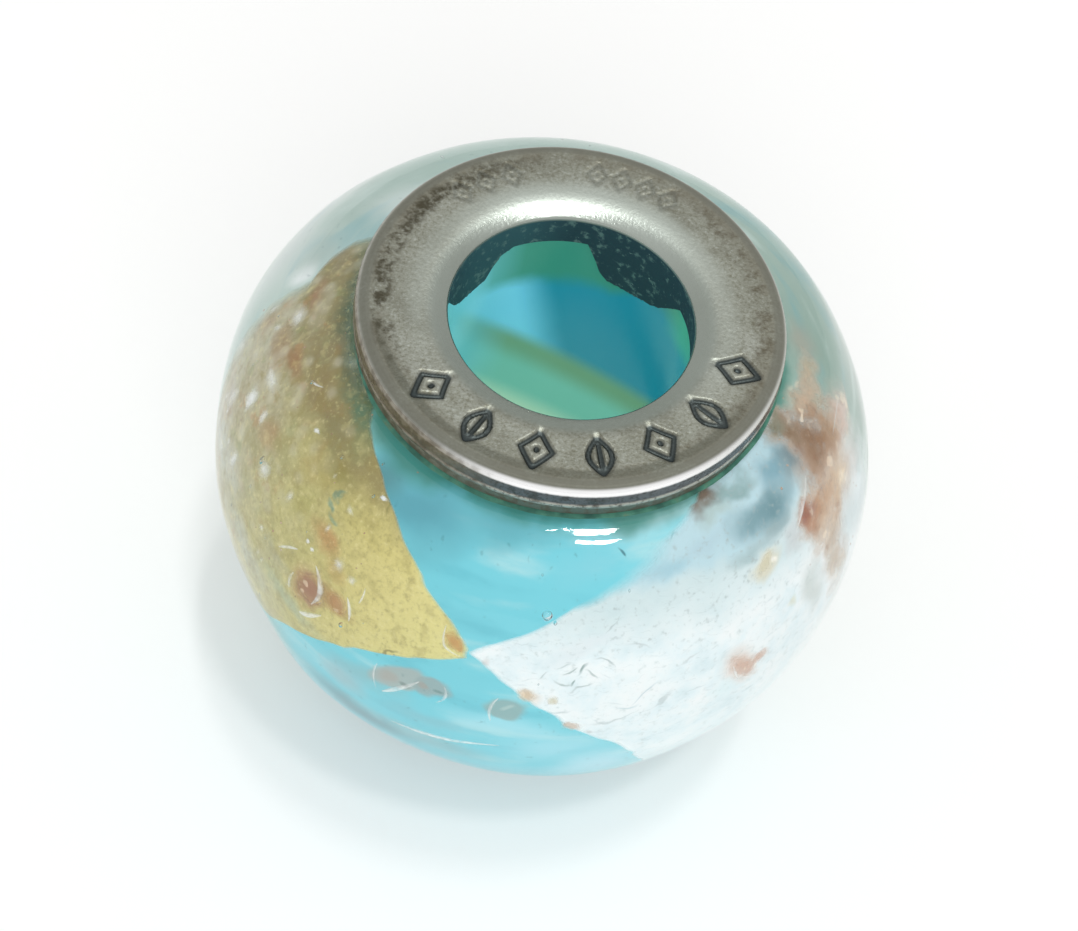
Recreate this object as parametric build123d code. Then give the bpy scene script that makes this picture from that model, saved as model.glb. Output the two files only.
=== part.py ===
from build123d import *
from collections import namedtuple
from math import asin, cos, degrees, radians, sin, sqrt
import os

# A glass bead for a charm bracelet. A turquoise glass core, wound on a rod, carries two patches of
# metal leaf and a few chips of copper glass, and clear glass covers them. The rod leaves a wide
# hole, and a silver grommet with a flange is pressed into each end of it.
# Sizes are in millimetres. The hole runs along Z and the bead stands on its lower flange at Z = 0.
# The front is towards -Y, and azimuths are in degrees from the front, growing towards +X.

# The bead as a whole
bead_height = 10.0
glass_diameter = 14.0
fit_gap = 0.02              # between each piece and the next

# Silver grommets
hole_diameter = 5.2
flange_diameter = 9.1
flange_thickness = 0.90
tab_set_out = 0.04          # from the flange's hole out to the tabs' inner side
tab_wall = 0.18
tab_depth = 1.95            # below the flange's face, of the longest tab
tab_width = 1.75            # of the widest tab
tab_corner = 0.30
lip_round = 0.30            # from the face into the hole
rim_round = 0.30            # from the face to the flange's side
rim_depth = 0.62            # of the flange's full-width upper part
rim_step = 0.07             # from the upper part in to the lower one
rim_taper = 0.08            # of the lower part, towards the glass

# Marks stamped in the upper flange's face
mark_depth = 0.07
mark_height = 0.92          # along the flange's radius
lozenge_width = 0.68
leaf_width = 0.50
mark_stroke = 0.13
mark_count = 7
mark_first = -44.0          # azimuth
mark_last = 82.0

# Glass
casing_thickness = 1.0      # of clear glass round the middle
casing_shoulder = 1.8       # radius between the side and the flat end
core_end_width = 0.75       # flat end, from the hole to the shoulder
core_shoulder = 1.6
foil_thickness = 0.04
fleck_thickness = 0.08

# Copper glass chips
fleck_length = 1.0
fleck_width = 0.5

# The tabs of each grommet, pressed out into its hole: azimuth, and width and depth as shares of
# the largest tab's
Tab = namedtuple("Tab", "azimuth width depth")
tabs = [
    Tab(154, 1.00, 1.00),
    Tab(241, 0.88, 0.95),
    Tab(333, 0.94, 0.90),
    Tab(62, 0.84, 0.97),
]

# Leaf patches: height as a share of the core's half height, and the two edges' azimuths
Row = namedtuple("Row", "height start stop")
gold_rows = [
    Row(-0.62, -70, -56),
    Row(-0.30, -80, -41),
    Row(-0.10, -86, -30),
    Row(0.10, -91, -17.5),
    Row(0.26, -96, -5.6),
    Row(0.60, -99, -23),
    Row(0.80, -102, -34),
    Row(0.96, -103, -44),
]
silver_rows = [
    Row(-0.82, 33, 74),
    Row(-0.50, 25.5, 86),
    Row(-0.25, 18, 92),
    Row(0.00, 8, 96),
    Row(0.26, -4.6, 94),
    Row(0.60, 8.5, 90),
    Row(0.80, 19, 84),
    Row(0.96, 27, 78),
]

# Copper chips: azimuth, height as a share of the core's half height, length and width as shares
# of the usual chip's, and the turn of its length from level, in degrees
Fleck = namedtuple("Fleck", "azimuth height length width turn")
flecks = [
    Fleck(-88, 0.78, 0.75, 1.10, 60),
    Fleck(-74, 0.52, 0.60, 0.90, 80),
    Fleck(-42, 0.28, 0.65, 0.80, 95),
    Fleck(-33, 0.12, 0.95, 1.05, 70),
    Fleck(-16, 0.02, 0.90, 0.85, 100),
    Fleck(-8, -0.03, 0.55, 0.60, 80),
    Fleck(4, -0.06, 0.85, 0.75, 100),
    Fleck(48, 0.05, 0.85, 1.10, 115),
    Fleck(56, 0.62, 0.95, 0.70, 70),
    Fleck(47, 0.93, 0.65, 0.80, 10),
    Fleck(78, 0.90, 1.10, 1.30, 90),
    Fleck(73, 0.60, 1.50, 1.30, 100),
    Fleck(80, 0.20, 1.30, 0.80, 85),
    Fleck(128, -0.25, 0.90, 0.90, 40),
    Fleck(152, 0.45, 0.70, 0.80, 120),
    Fleck(196, 0.10, 1.00, 0.90, 75),
    Fleck(221, -0.48, 0.75, 0.70, 20),
    Fleck(236, 0.55, 0.80, 1.00, 150),
]

hole_radius = hole_diameter / 2
flange_radius = flange_diameter / 2
tab_radius = hole_radius + tab_set_out
bore_radius = tab_radius + tab_wall + fit_gap
glass_half_height = bead_height / 2 - flange_thickness - fit_gap
reach = glass_diameter      # past the glass on every side, for cutting shapes

Barrel = namedtuple("Barrel", "equator end half_height shoulder side")


def barrel(equator, end, half_height, shoulder):
    """Half profile of a barrel: a flat end, a shoulder arc and a side arc, each tangent to the next."""
    drop = equator - end
    shoulder = min(shoulder, 0.85 * drop, 0.85 * half_height)
    side = (drop ** 2 + (half_height - shoulder) ** 2 - shoulder ** 2) / (2 * (drop - shoulder))
    return Barrel(equator, end, half_height, shoulder, side)


def grown(form, step):
    """The same barrel with its surface moved outwards by step."""
    return Barrel(
        form.equator + step,
        form.end,
        form.half_height + step,
        form.shoulder + step,
        form.side + step,
    )


def side_centre(form):
    return form.equator - form.side


def tangent_angle(form):
    """Angle above level of the normal where the side arc meets the shoulder arc."""
    return degrees(asin((form.half_height - form.shoulder) / (form.side - form.shoulder)))


def on_arc(radius_centre, height_centre, radius, angle):
    return (radius_centre + radius * cos(radians(angle)), height_centre + radius * sin(radians(angle)))


def surface_point(form, height):
    """Radius of the barrel at a height above its middle, and the normal's angle above level."""
    level = abs(height)
    shoulder_base = form.half_height - form.shoulder
    side_angle = degrees(asin(level / form.side))
    if side_angle <= tangent_angle(form):
        radius, _ = on_arc(side_centre(form), 0, form.side, side_angle)
        angle = side_angle
    else:
        angle = degrees(asin((level - shoulder_base) / form.shoulder))
        radius, _ = on_arc(form.end, shoulder_base, form.shoulder, angle)
    return radius, angle if height >= 0 else -angle


def barrel_solid(form):
    """The full barrel, without its hole, round the bead's middle."""
    middle = bead_height / 2
    turn = tangent_angle(form)
    base = form.half_height - form.shoulder
    halfway = (turn + 90) / 2

    def place(point, up):
        return (point[0], 0, middle + up * point[1])

    top = place((form.end, form.half_height), 1)
    bottom = place((form.end, form.half_height), -1)
    joint = on_arc(side_centre(form), 0, form.side, turn)
    crest = on_arc(form.end, base, form.shoulder, halfway)
    outline = Wire([
        Edge.make_line((0, 0, bottom[2]), bottom),
        Edge.make_three_point_arc(bottom, place(crest, -1), place(joint, -1)),
        Edge.make_three_point_arc(place(joint, -1), (form.equator, 0, middle), place(joint, 1)),
        Edge.make_three_point_arc(place(joint, 1), place(crest, 1), top),
        Edge.make_line(top, (0, 0, top[2])),
        Edge.make_line((0, 0, top[2]), (0, 0, bottom[2])),
    ])
    return Solid.revolve(Face(outline), 360, Axis.Z)


def bore_hole():
    return Pos(0, 0, bead_height / 2) * Cylinder(bore_radius, reach)


outer_form = barrel(glass_diameter / 2, flange_radius, glass_half_height, casing_shoulder)
core_form = barrel(
    glass_diameter / 2 - casing_thickness,
    bore_radius + core_end_width,
    glass_half_height,
    core_shoulder,
)
foil_bed = grown(core_form, fit_gap)
foil_top = grown(foil_bed, foil_thickness)
fleck_top = grown(foil_bed, fleck_thickness)
casing_bed = grown(fleck_top, fit_gap)


def around(azimuth, radius, height):
    """A point at an azimuth from the front and a height above the bead's middle."""
    turn = radians(azimuth)
    return Vector(radius * sin(turn), -radius * cos(turn), bead_height / 2 + height)


def leaf_patch(rows):
    """A patch of metal leaf on the core, between the edges that the rows give."""
    slices = []
    for row in rows:
        height = row.height * core_form.half_height
        corners = [around(0, 0, height), around(row.start, reach, height), around(row.stop, reach, height)]
        slices.append(Wire.make_polygon(corners, close=True))
    wedge = Solid.make_loft(slices, ruled=True)
    return (barrel_solid(foil_top) - barrel_solid(foil_bed)) & wedge


def fleck_column(fleck, margin):
    """A column with the chip's outline, square to the core's surface."""
    height = fleck.height * core_form.half_height
    radius, angle = surface_point(foil_bed, height)
    turn = radians(fleck.azimuth)
    outward = Vector(sin(turn) * cos(radians(angle)), -cos(turn) * cos(radians(angle)), sin(radians(angle)))
    along = Vector(cos(turn), sin(turn), 0)
    bed = Plane(around(fleck.azimuth, radius, height), x_dir=along, z_dir=outward)
    outline = Ellipse(fleck_length * fleck.length / 2 + margin, fleck_width * fleck.width / 2 + margin)
    return extrude(bed * Rot(0, 0, fleck.turn) * outline, amount=casing_thickness / 2, both=True)


def copper_chips():
    layer = barrel_solid(fleck_top) - barrel_solid(foil_bed)
    return [layer & fleck_column(fleck, 0) for fleck in flecks]


def pressed_through(leaf):
    """The leaf with a hole round each chip that lies in it."""
    for fleck in flecks:
        leaf = leaf - fleck_column(fleck, fit_gap)
    return leaf


def lozenge_mark():
    """An open lozenge round a dot."""
    half_height = mark_height / 2
    half_width = lozenge_width / 2
    outer = Polygon((0, half_height), (-half_width, 0), (0, -half_height), (half_width, 0), align=None)
    share = 1 - 2 * mark_stroke / lozenge_width
    inner = scale(outer, by=share)
    return outer - inner + Circle(mark_stroke / 2)


def leaf_mark():
    """A pointed leaf with a midrib."""
    half_height = mark_height / 2
    bulge = leaf_width / 2
    right = ThreePointArc((0, -half_height), (bulge, 0), (0, half_height))
    left = ThreePointArc((0, half_height), (-bulge, 0), (0, -half_height))
    blade = make_face(right + left)
    share = 1 - 2 * mark_stroke / leaf_width
    rib = Rectangle(mark_stroke / 2, mark_height * share)
    return blade - scale(blade, by=share) + rib


def stamped_marks():
    """The marks' cutters, standing in the face from mark_depth below it."""
    radius = (hole_radius + lip_round + flange_radius - rim_round) / 2
    step = (mark_last - mark_first) / (mark_count - 1)
    cutters = []
    for number in range(mark_count):
        azimuth = mark_first + number * step
        outline = lozenge_mark() if number % 2 == 0 else leaf_mark()
        floor = Pos(0, 0, bead_height - mark_depth) * Rot(0, 0, azimuth) * Pos(0, -radius, 0)
        cutters.append(extrude(floor * outline, amount=2 * mark_depth))
    return cutters


def grommet_ring():
    """Upper flange, turned from its profile, before its tabs and marks."""
    top = bead_height
    lower_radius = flange_radius - rim_step
    seat_radius = lower_radius - rim_taper
    arc_share = 1 - sqrt(0.5)
    lip_start = (hole_radius, 0, top - lip_round)
    lip_middle = (hole_radius + lip_round * arc_share, 0, top - lip_round * arc_share)
    lip_stop = (hole_radius + lip_round, 0, top)
    rim_start = (flange_radius - rim_round, 0, top)
    rim_middle = (flange_radius - rim_round * arc_share, 0, top - rim_round * arc_share)
    rim_stop = (flange_radius, 0, top - rim_round)
    ledge = (flange_radius, 0, top - rim_depth)
    lower_top = (lower_radius, 0, top - rim_depth - rim_step)
    seat_outer = (seat_radius, 0, top - flange_thickness)
    seat_inner = (hole_radius, 0, top - flange_thickness)
    outline = Wire([
        Edge.make_three_point_arc(lip_start, lip_middle, lip_stop),
        Edge.make_line(lip_stop, rim_start),
        Edge.make_three_point_arc(rim_start, rim_middle, rim_stop),
        Edge.make_line(rim_stop, ledge),
        Edge.make_line(ledge, lower_top),
        Edge.make_line(lower_top, seat_outer),
        Edge.make_line(seat_outer, seat_inner),
        Edge.make_line(seat_inner, lip_start),
    ])
    return Solid.revolve(Face(outline), 360, Axis.Z)


def grommet_tab(tab):
    """A tab with rounded corners, bent down along the hole's wall from the flange."""
    depth = tab.depth * tab_depth
    width = tab.width * tab_width
    root = (lip_round + flange_thickness) / 2
    wall_height = depth - root
    wall_middle = bead_height - root - wall_height / 2
    wall = Cylinder(tab_radius + tab_wall, wall_height) - Cylinder(tab_radius, 2 * wall_height)
    corner = min(tab_corner, 0.45 * width)
    blank = RectangleRounded(width, 2 * wall_height, corner)
    face = Plane(around(tab.azimuth, 0, 0), x_dir=around(tab.azimuth + 90, 1, 0) - around(0, 0, 0),
                 z_dir=around(tab.azimuth, 1, 0) - around(0, 0, 0))
    lift = bead_height / 2 - depth + wall_height
    outline = extrude(face * Pos(0, lift) * blank, amount=2 * hole_radius)
    return Pos(0, 0, wall_middle) * wall & outline


def grommet_with_tabs():
    grommet = grommet_ring()
    for tab in tabs:
        grommet = grommet + grommet_tab(tab)
    return grommet


def turned_over(shape):
    """The shape at the bead's other end."""
    middle = Pos(0, 0, bead_height / 2)
    return middle * Rot(180, 0, 0) * middle.inverse() * shape


def write(shape, name):
    export_step(shape, f"parts/{name}.step")


os.makedirs("parts", exist_ok=True)

glass_core = barrel_solid(core_form) & Pos(0, 0, bead_height / 2) * Cylinder(reach, 2 * glass_half_height)
glass_core = glass_core - bore_hole()
write(glass_core, "glass_core")

write(pressed_through(leaf_patch(gold_rows)), "gold_foil")
write(pressed_through(leaf_patch(silver_rows)), "silver_foil")
write(Compound(copper_chips()), "copper_frit")

clear_casing = barrel_solid(outer_form) - barrel_solid(casing_bed)
write(clear_casing, "clear_casing")

plain_grommet = grommet_with_tabs()
upper_grommet = plain_grommet
for cutter in stamped_marks():
    upper_grommet = upper_grommet - cutter
write(upper_grommet, "upper_grommet")
write(turned_over(plain_grommet), "lower_grommet")
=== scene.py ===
import random
from math import atan2, cos, degrees, hypot, pi, radians, sin, sqrt
from types import SimpleNamespace
import bpy
from mathutils import Matrix, Quaternion, Vector, noise


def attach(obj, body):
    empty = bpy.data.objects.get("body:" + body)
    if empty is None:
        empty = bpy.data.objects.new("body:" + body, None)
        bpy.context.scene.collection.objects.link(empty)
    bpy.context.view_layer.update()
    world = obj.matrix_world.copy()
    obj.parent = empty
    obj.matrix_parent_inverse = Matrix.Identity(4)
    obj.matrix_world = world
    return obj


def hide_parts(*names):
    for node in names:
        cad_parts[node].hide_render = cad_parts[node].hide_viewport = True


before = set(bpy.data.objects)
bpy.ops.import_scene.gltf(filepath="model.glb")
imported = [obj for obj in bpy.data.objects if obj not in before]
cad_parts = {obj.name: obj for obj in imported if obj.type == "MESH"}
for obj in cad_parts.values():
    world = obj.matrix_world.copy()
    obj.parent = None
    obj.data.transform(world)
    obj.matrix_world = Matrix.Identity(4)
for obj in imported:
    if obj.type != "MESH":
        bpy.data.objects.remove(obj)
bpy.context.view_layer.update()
bpy.ops.object.select_all(action="DESELECT")


# The glass core: opaque turquoise and sea-green soda glass, wound hot on a steel rod.
# The rod's release left the wide hole, where the same glass shows wet and deep in colour.
# The turquoise lies in front and a paler, streaky sea green behind, melted into each other.
bead_middle = 5.0
core_form = SimpleNamespace(equator=6.0, end=3.59, half=4.08, shoulder=1.6)
bore_radius = 2.84


def side_arc(form):
    """Radius, centre radius and half angle of the arc between a barrel's two shoulders."""
    drop, rise = form.equator - form.end, form.half - form.shoulder
    radius = (drop ** 2 + rise ** 2 - form.shoulder ** 2) / (2 * (drop - form.shoulder))
    return radius, form.equator - radius, atan2(rise, radius - drop)


def radius_at(form, height, lift=0.0):
    """Radius of a barrel at a height from its middle, lift outside its surface, all in mm."""
    radius, centre, half_angle = side_arc(form)
    if abs(height) <= (radius + lift) * sin(half_angle):
        return centre + sqrt((radius + lift) ** 2 - height ** 2)
    over = min(abs(height) - form.half + form.shoulder, form.shoulder + lift)
    return form.end + sqrt((form.shoulder + lift) ** 2 - over ** 2)


def on_barrel(form, azimuth, height, lift=0.0):
    """A point on a barrel, in mm, azimuth in degrees from the front and towards the right."""
    radius, turn = radius_at(form, height, lift), radians(azimuth)
    return Vector((radius * sin(turn), -radius * cos(turn), bead_middle + height))


def settle(piece, smooth=None):
    """Puts a piece that was modelled in mm into metres, with its object at the origin, and
    smooths the edges that turn by no more than so many degrees."""
    bpy.ops.object.select_all(action="DESELECT")
    piece.select_set(True)
    bpy.context.view_layer.objects.active = piece
    bpy.ops.object.transform_apply(location=True, rotation=True, scale=True)
    piece.scale = (0.001, 0.001, 0.001)
    bpy.ops.object.transform_apply(location=False, rotation=False, scale=True)
    if smooth:
        bpy.ops.object.shade_smooth_by_angle(angle=radians(smooth))


def faces_outwards(merge=0.0):
    """Turns the active piece's faces outwards, its points nearer than merge made one first."""
    bpy.ops.object.mode_set(mode="EDIT")
    bpy.ops.mesh.select_all(action="SELECT")
    if merge:
        bpy.ops.mesh.remove_doubles(threshold=merge)
    bpy.ops.mesh.normals_make_consistent(inside=False)
    bpy.ops.object.mode_set(mode="OBJECT")


def turned(name, start, moves, steps):
    """A closed ring turned round the hole's axis. Its profile runs from start, in mm, by
    straight moves (radius, height) and by arcs (centre radius, centre height, degrees)."""
    bpy.ops.object.select_all(action="DESELECT")
    bpy.ops.mesh.primitive_plane_add(size=0.1, location=(start[0], 0, start[1]))
    piece = bpy.context.object
    piece.name = piece.data.name = name
    bpy.ops.object.mode_set(mode="EDIT")
    bpy.ops.mesh.merge(type="CENTER")
    x, z = start
    for move in moves:
        if len(move) == 2:
            shift = (move[0] - x, 0, move[1] - z)
            bpy.ops.mesh.extrude_region_move(TRANSFORM_OT_translate={"value": shift})
            x, z = move
        else:
            centre, sweep = Vector(move[:2]), radians(move[2])
            cuts = max(2, round(abs(move[2]) / 5))
            bpy.ops.mesh.spin(steps=cuts, angle=sweep, center=(move[0], 0, move[1]), axis=(0, 1, 0))
            x, z = centre + Matrix.Rotation(sweep, 2) @ (Vector((x, z)) - centre)
    bpy.ops.object.mode_set(mode="OBJECT")
    bpy.ops.object.transform_apply(location=True, rotation=False, scale=False)
    lathe = piece.modifiers.new("lathe", "SCREW")
    lathe.angle, lathe.use_merge_vertices, lathe.merge_threshold = 2 * pi, True, 0.0005
    lathe.steps = lathe.render_steps = steps
    bpy.ops.object.modifier_apply(modifier="lathe")
    faces_outwards(merge=0.002)
    return piece


def side_moves(form, way=1):
    """A barrel's side in three arcs, up its outside, or down its inside where way is -1."""
    radius, centre, half_angle = side_arc(form)
    straight, bend = form.half - form.shoulder, 90 - degrees(half_angle)
    return [(form.end, bead_middle - way * straight, way * bend),
            (centre, bead_middle, way * 2 * degrees(half_angle)),
            (form.end, bead_middle + way * straight, way * bend)]


low, high = bead_middle - core_form.half, bead_middle + core_form.half
mouth_round = 0.15
mouth_radius = bore_radius + mouth_round
bore_length = high - low - 2 * mouth_round
bore_cuts = [(bore_radius, high - mouth_round - i * bore_length / 24) for i in range(1, 25)]
glass_core = turned("glass_core_body", (mouth_radius, low), [
    (core_form.end, low), *side_moves(core_form), (mouth_radius, high),
    (mouth_radius, high - mouth_round, 90), *bore_cuts,
    (mouth_radius, low + mouth_round, 90)], 180)
settle(glass_core, smooth=40)


def colour(hex_value):
    """An sRGB hex colour as linear red, green, blue and full opacity."""
    channels = [int(hex_value[i:i + 2], 16) / 255 for i in (1, 3, 5)]
    return (*(c / 12.92 if c <= 0.04045 else ((c + 0.055) / 1.055) ** 2.4 for c in channels), 1.0)


def add(tree, kind, inputs=None, stops=None, **settings):
    """Adds a shader node with its settings, its links and values, and a ramp's stops."""
    node = tree.nodes.new("ShaderNode" + kind)
    for name, value in settings.items():
        setattr(node, name, value)
    for place, (position, hex_value) in enumerate(stops or ()):
        stop = node.color_ramp.elements[place] if place < 2 else node.color_ramp.elements.new(1.0)
        stop.position, stop.color = position, colour(hex_value)
    for name, value in (inputs or {}).items():
        named = [s for s in node.inputs if s.enabled and s.name == name]
        socket = node.inputs[name] if isinstance(name, int) else named[0]
        if isinstance(value, bpy.types.Node):
            value = next(s for s in value.outputs if s.enabled)
        if isinstance(value, bpy.types.NodeSocket):
            tree.links.new(value, socket)
        else:
            socket.default_value = colour(value) if isinstance(value, str) else value
    return node


def blank_material(name):
    """A material with an empty node tree."""
    material = bpy.data.materials.new(name)
    material.use_nodes = True
    material.node_tree.nodes.clear()
    return material, material.node_tree


def place_on_bead(tree, wander=0.0, grain=0.8):
    """The point in mm from the bead's middle, and then, unsteady by the wander in mm, its
    azimuth in degrees, its height and radius, and its place on the flattened side in mm."""
    point = add(tree, "TexCoord").outputs["Object"]
    mm = add(tree, "Mapping", {"Vector": point, "Location": (0, 0, -bead_middle),
                               "Scale": (1000, 1000, 1000)})
    shifted = mm
    if wander:
        cloud = add(tree, "TexNoise", {"Vector": mm, "Scale": grain, "Detail": 3.0})
        middle = add(tree, "VectorMath", {0: cloud.outputs["Color"], 1: (0.5, 0.5, 0.5)},
                     operation="SUBTRACT")
        shift = add(tree, "VectorMath", {0: middle, "Scale": 3 * wander}, operation="SCALE")
        shifted = add(tree, "VectorMath", {0: mm, 1: shift}, operation="ADD")
    split = add(tree, "SeparateXYZ", {"Vector": shifted})
    back = add(tree, "Math", {0: split.outputs["Y"], 1: -1.0}, operation="MULTIPLY")
    turn = add(tree, "Math", {0: split.outputs["X"], 1: back}, operation="ARCTAN2")
    azimuth = add(tree, "Math", {0: turn, 1: degrees(1)}, operation="MULTIPLY")
    along = add(tree, "Math", {0: turn, 1: core_form.equator}, operation="MULTIPLY")
    flat = add(tree, "CombineXYZ", {"X": along, "Y": split.outputs["Z"]})
    level = add(tree, "CombineXYZ", {"X": split.outputs["X"], "Y": split.outputs["Y"]})
    reach = add(tree, "VectorMath", {0: level}, operation="LENGTH")
    return SimpleNamespace(mm=mm, azimuth=azimuth, height=split.outputs["Z"], flat=flat,
                           radius=reach)


def overlap(tree, *steps, smooth=False):
    """The mask where all its steps hold. A step is another mask, or a value with the two
    numbers between which the mask goes from 0 to 1, in a straight line or smoothly."""
    mask, line = None, "SMOOTHSTEP" if smooth else "LINEAR"
    for step in steps:
        if isinstance(step, tuple):
            step = add(tree, "MapRange", {"Value": step[0], "From Min": step[1],
                                          "From Max": step[2]}, interpolation_type=line)
        mask = add(tree, "Math", {0: mask, 1: step}, operation="MULTIPLY") if mask else step
    return mask


def tinted(tree, base, *layers):
    """Lays colours over base, one after another. Each layer has its hex value, the pattern
    that it follows, the pattern's values where it begins and where it is full, its share
    there, and further steps, as overlap takes them, that keep it within their mask."""
    for hex_value, pattern, begins, is_full, share, *steps in layers:
        mask = add(tree, "MapRange", {"Value": pattern, "From Min": begins, "From Max": is_full,
                                      "To Max": share}, interpolation_type="SMOOTHSTEP")
        base = add(tree, "Mix", {"Factor": overlap(tree, mask, *steps), "A": base,
                                 "B": hex_value}, data_type="RGBA")
    return base


def with_spots(tree, base, place, table, soft=0.9):
    """Ovals over a colour. Each has azimuth, height, half width and half height in mm, its hex
    value and how strong it is. Some have a turn in degrees as well, and some also how far in
    their edge is soft, where that isn't the same as for the rest of the table."""
    for azimuth, height, wide, tall, hex_value, strength, *more in table:
        turn, own_soft = (*more, *(0, soft)[len(more):])
        middle = (radians(azimuth) * core_form.equator, height, 0)
        oval = add(tree, "Mapping", {"Vector": place.flat, "Location": middle,
                                     "Rotation": (0, 0, radians(turn)), "Scale": (wide, tall, 1)},
                   vector_type="TEXTURE")
        out = add(tree, "VectorMath", {0: oval}, operation="LENGTH")
        base = tinted(tree, base, (hex_value, out, 1.0, 1.0 - own_soft, strength))
    return base


# Fused soda glass: glossy, IOR 1.51. Its colour is streaked along the winding, a few mm wide.
turquoise, tree = blank_material("wound_turquoise_glass")
place = place_on_bead(tree, wander=0.30, grain=0.7)
share = add(tree, "MapRange", {"Value": place.azimuth, "From Min": -180.0, "From Max": 180.0})
body = add(tree, "ValToRGB", {"Fac": share}, stops=[
    (0.0, "#B4CAC3"), (0.16, "#B0C7BF"), (0.21, "#C6D8D2"), (0.26, "#B0CCC2"), (0.36, "#95CCCC"),
    (0.385, "#76CFDD"), (0.56, "#7BD4E2"), (0.60, "#92DAE5"), (0.68, "#A4D6DE"), (0.75, "#9DBBB0"),
    (0.80, "#92ADA2"), (0.88, "#A3BBB1"), (1.0, "#B4CAC3")])
stretched = add(tree, "Mapping", {"Vector": place.mm, "Scale": (0.22, 0.22, 0.9)})
streaks = add(tree, "TexNoise", {"Vector": stretched, "Scale": 1.6, "Detail": 4.0})
body = tinted(tree, body, ("#E2F2EF", streaks, 0.50, 0.72, 0.40),
              ("#46A8BC", streaks, 0.46, 0.28, 0.30))
# Among the spots, those high up near the flange are painted shade, the pale ones low in front and
# at the bottom are painted light, and the dark one low on the left is painted shade.
body = with_spots(tree, body, place, [
    (-26, 3.25, 2, 0.8, "#5CA3B2", 0.9), (-5, 3.5, 2.2, 0.5, "#64B0BC", 0.8),
    (-38, 3.4, 1, 0.6, "#568D93", 0.85), (-22, 2.6, 1.2, 0.6, "#6BB9C6", 0.6, 25),
    (16, 3.1, 1.2, 0.45, "#8BD3E0", 0.5, 20), (4, -0.9, 1.6, 0.6, "#A6E2EE", 0.8),
    (14, -1.5, 1.6, 0.7, "#A4E0ED", 0.8, 10), (-29, -1.35, 0.9, 0.6, "#A1BEC4", 0.7, -20),
    (-23, -0.9, 1.2, 0.4, "#94B9BD", 0.6), (-10, -1.35, 1.4, 0.4, "#85C0CC", 0.6),
    (-12, -2.4, 2.2, 0.6, "#90BAC0", 0.75), (-26, -2.5, 1.8, 0.7, "#65868E", 0.65, -12),
    (24, -2.4, 1.2, 0.9, "#BAE5F1", 0.8), (109, 3.1, 1, 0.6, "#A7A99C", 0.8),
    (101, 2.3, 0.8, 0.4, "#AAB2A7", 0.6), (-101, 2.45, 0.65, 0.45, "#F0F8F8", 0.95, 0, 0.8),
    (-107, 2.5, 0.9, 0.7, "#B8CAC4", 0.7), (-112, 1.4, 1.2, 1, "#CEDAD8", 0.6),
    (-128, 3.2, 1.6, 1, "#E2ECEA", 0.6, 10), (-146, 1, 2.4, 1.3, "#D7E6E2", 0.6, -8),
    (146, 0.6, 2.6, 1.5, "#ACCFC7", 0.6, 8), (23.5, 3.33, 0.05, 0.12, "#3F7481", 0.8, 35, 0.5),
    (-17.5, -0.47, 0.84, 0.4, "#A9B4B0", 0.9, 35, 0.35),
    (-19.6, -0.58, 0.34, 0.25, "#AAA9A2", 0.8, 35, 0.7),
    (-16.2, -0.6, 0.16, 0.09, "#7E918E", 0.8, 0, 0.6),
    (-10.5, -0.3, 0.52, 0.32, "#98ADAD", 0.9, 25, 0.35),
    (-11.6, -0.38, 0.22, 0.15, "#A5A39C", 0.8, 0, 0.7),
    (-8.6, -0.34, 0.12, 0.07, "#70908F", 0.8, 20, 0.6),
    (4, -0.3, 0.56, 0.48, "#93B0AE", 0.85, 0, 0.35),
    (4.6, -0.18, 0.22, 0.11, "#AFCAC8", 0.8, 30, 0.7)])
# Painted shade: the glass against the flange is darkened green, for the flange's shadow and dark
# reflection there. A fine dark green mottle lies over the whole glass.
fine = add(tree, "TexNoise", {"Vector": place.mm, "Scale": 6.0, "Detail": 3.0})
body = tinted(tree, body, ("#3E8576", place.height, 3.46, 3.84, 0.85),
              ("#3C6F78", fine, 0.66, 0.74, 0.25))
shader = add(tree, "BsdfPrincipled", {"Base Color": body, "Roughness": 0.35,
                                      "IOR": 1.51, "Specular IOR Level": 0.0})
add(tree, "OutputMaterial", {"Surface": shader})

# The bore's wall is the same glass seen wet: light blue and teal over a slanting band of sea green.
# Its colour is also given out as emission, a painted glow that stands for the light coming in
# through the bead's side. The azimuth aside is counted here from the back, the part of the wall
# that shows.
bore_glass, tree = blank_material("glass_of_the_bore_wall")
place = place_on_bead(tree, wander=0.16, grain=0.9)
split = add(tree, "SeparateXYZ", {"Vector": place.mm})
turn = add(tree, "Math", {0: split.outputs["X"], 1: split.outputs["Y"]}, operation="ARCTAN2")
aside = add(tree, "Math", {0: turn, 1: degrees(1)}, operation="MULTIPLY")
leaning = add(tree, "Math", {0: place.height, 1: 5.2, 2: aside}, operation="MULTIPLY_ADD")
green_foot = add(tree, "MapRange", {"Value": aside, "From Min": 14.0, "From Max": 28.0,
                                    "To Min": 2.35, "To Max": 2.95})
over_foot = add(tree, "Math", {0: place.height, 1: green_foot}, operation="SUBTRACT")
slant = add(tree, "VectorMath", {0: place.mm, 1: (0.386, 1.08, 1.0)},
            operation="DOT_PRODUCT").outputs["Value"]
wall = tinted(tree, "#1C8CA6",
              ("#79D3F2", leaning, 3.0, -19.0, 1.0),
              ("#388C78", over_foot, -0.20, 0.40, 0.95, (aside, -52.0, -40.0)),
              ("#46AD92", place.height, 2.2, 2.9, 0.8, (aside, 42.0, 56.0)),
              ("#6FA07C", slant, 3.25, 2.65, 0.95),
              ("#78C4B8", slant, 2.60, 1.80, 0.9),
              ("#70CBDD", place.height, -1.2, 0.0, 0.9, (aside, -26.0, -58.0)),
              ("#C6E4CC", slant, 1.25, 0.40, 0.9))
shader = add(tree, "BsdfPrincipled", {"Base Color": wall, "Roughness": 0.18, "IOR": 1.51,
                                      "Emission Color": wall, "Emission Strength": 0.32})
add(tree, "OutputMaterial", {"Surface": shader})

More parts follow.
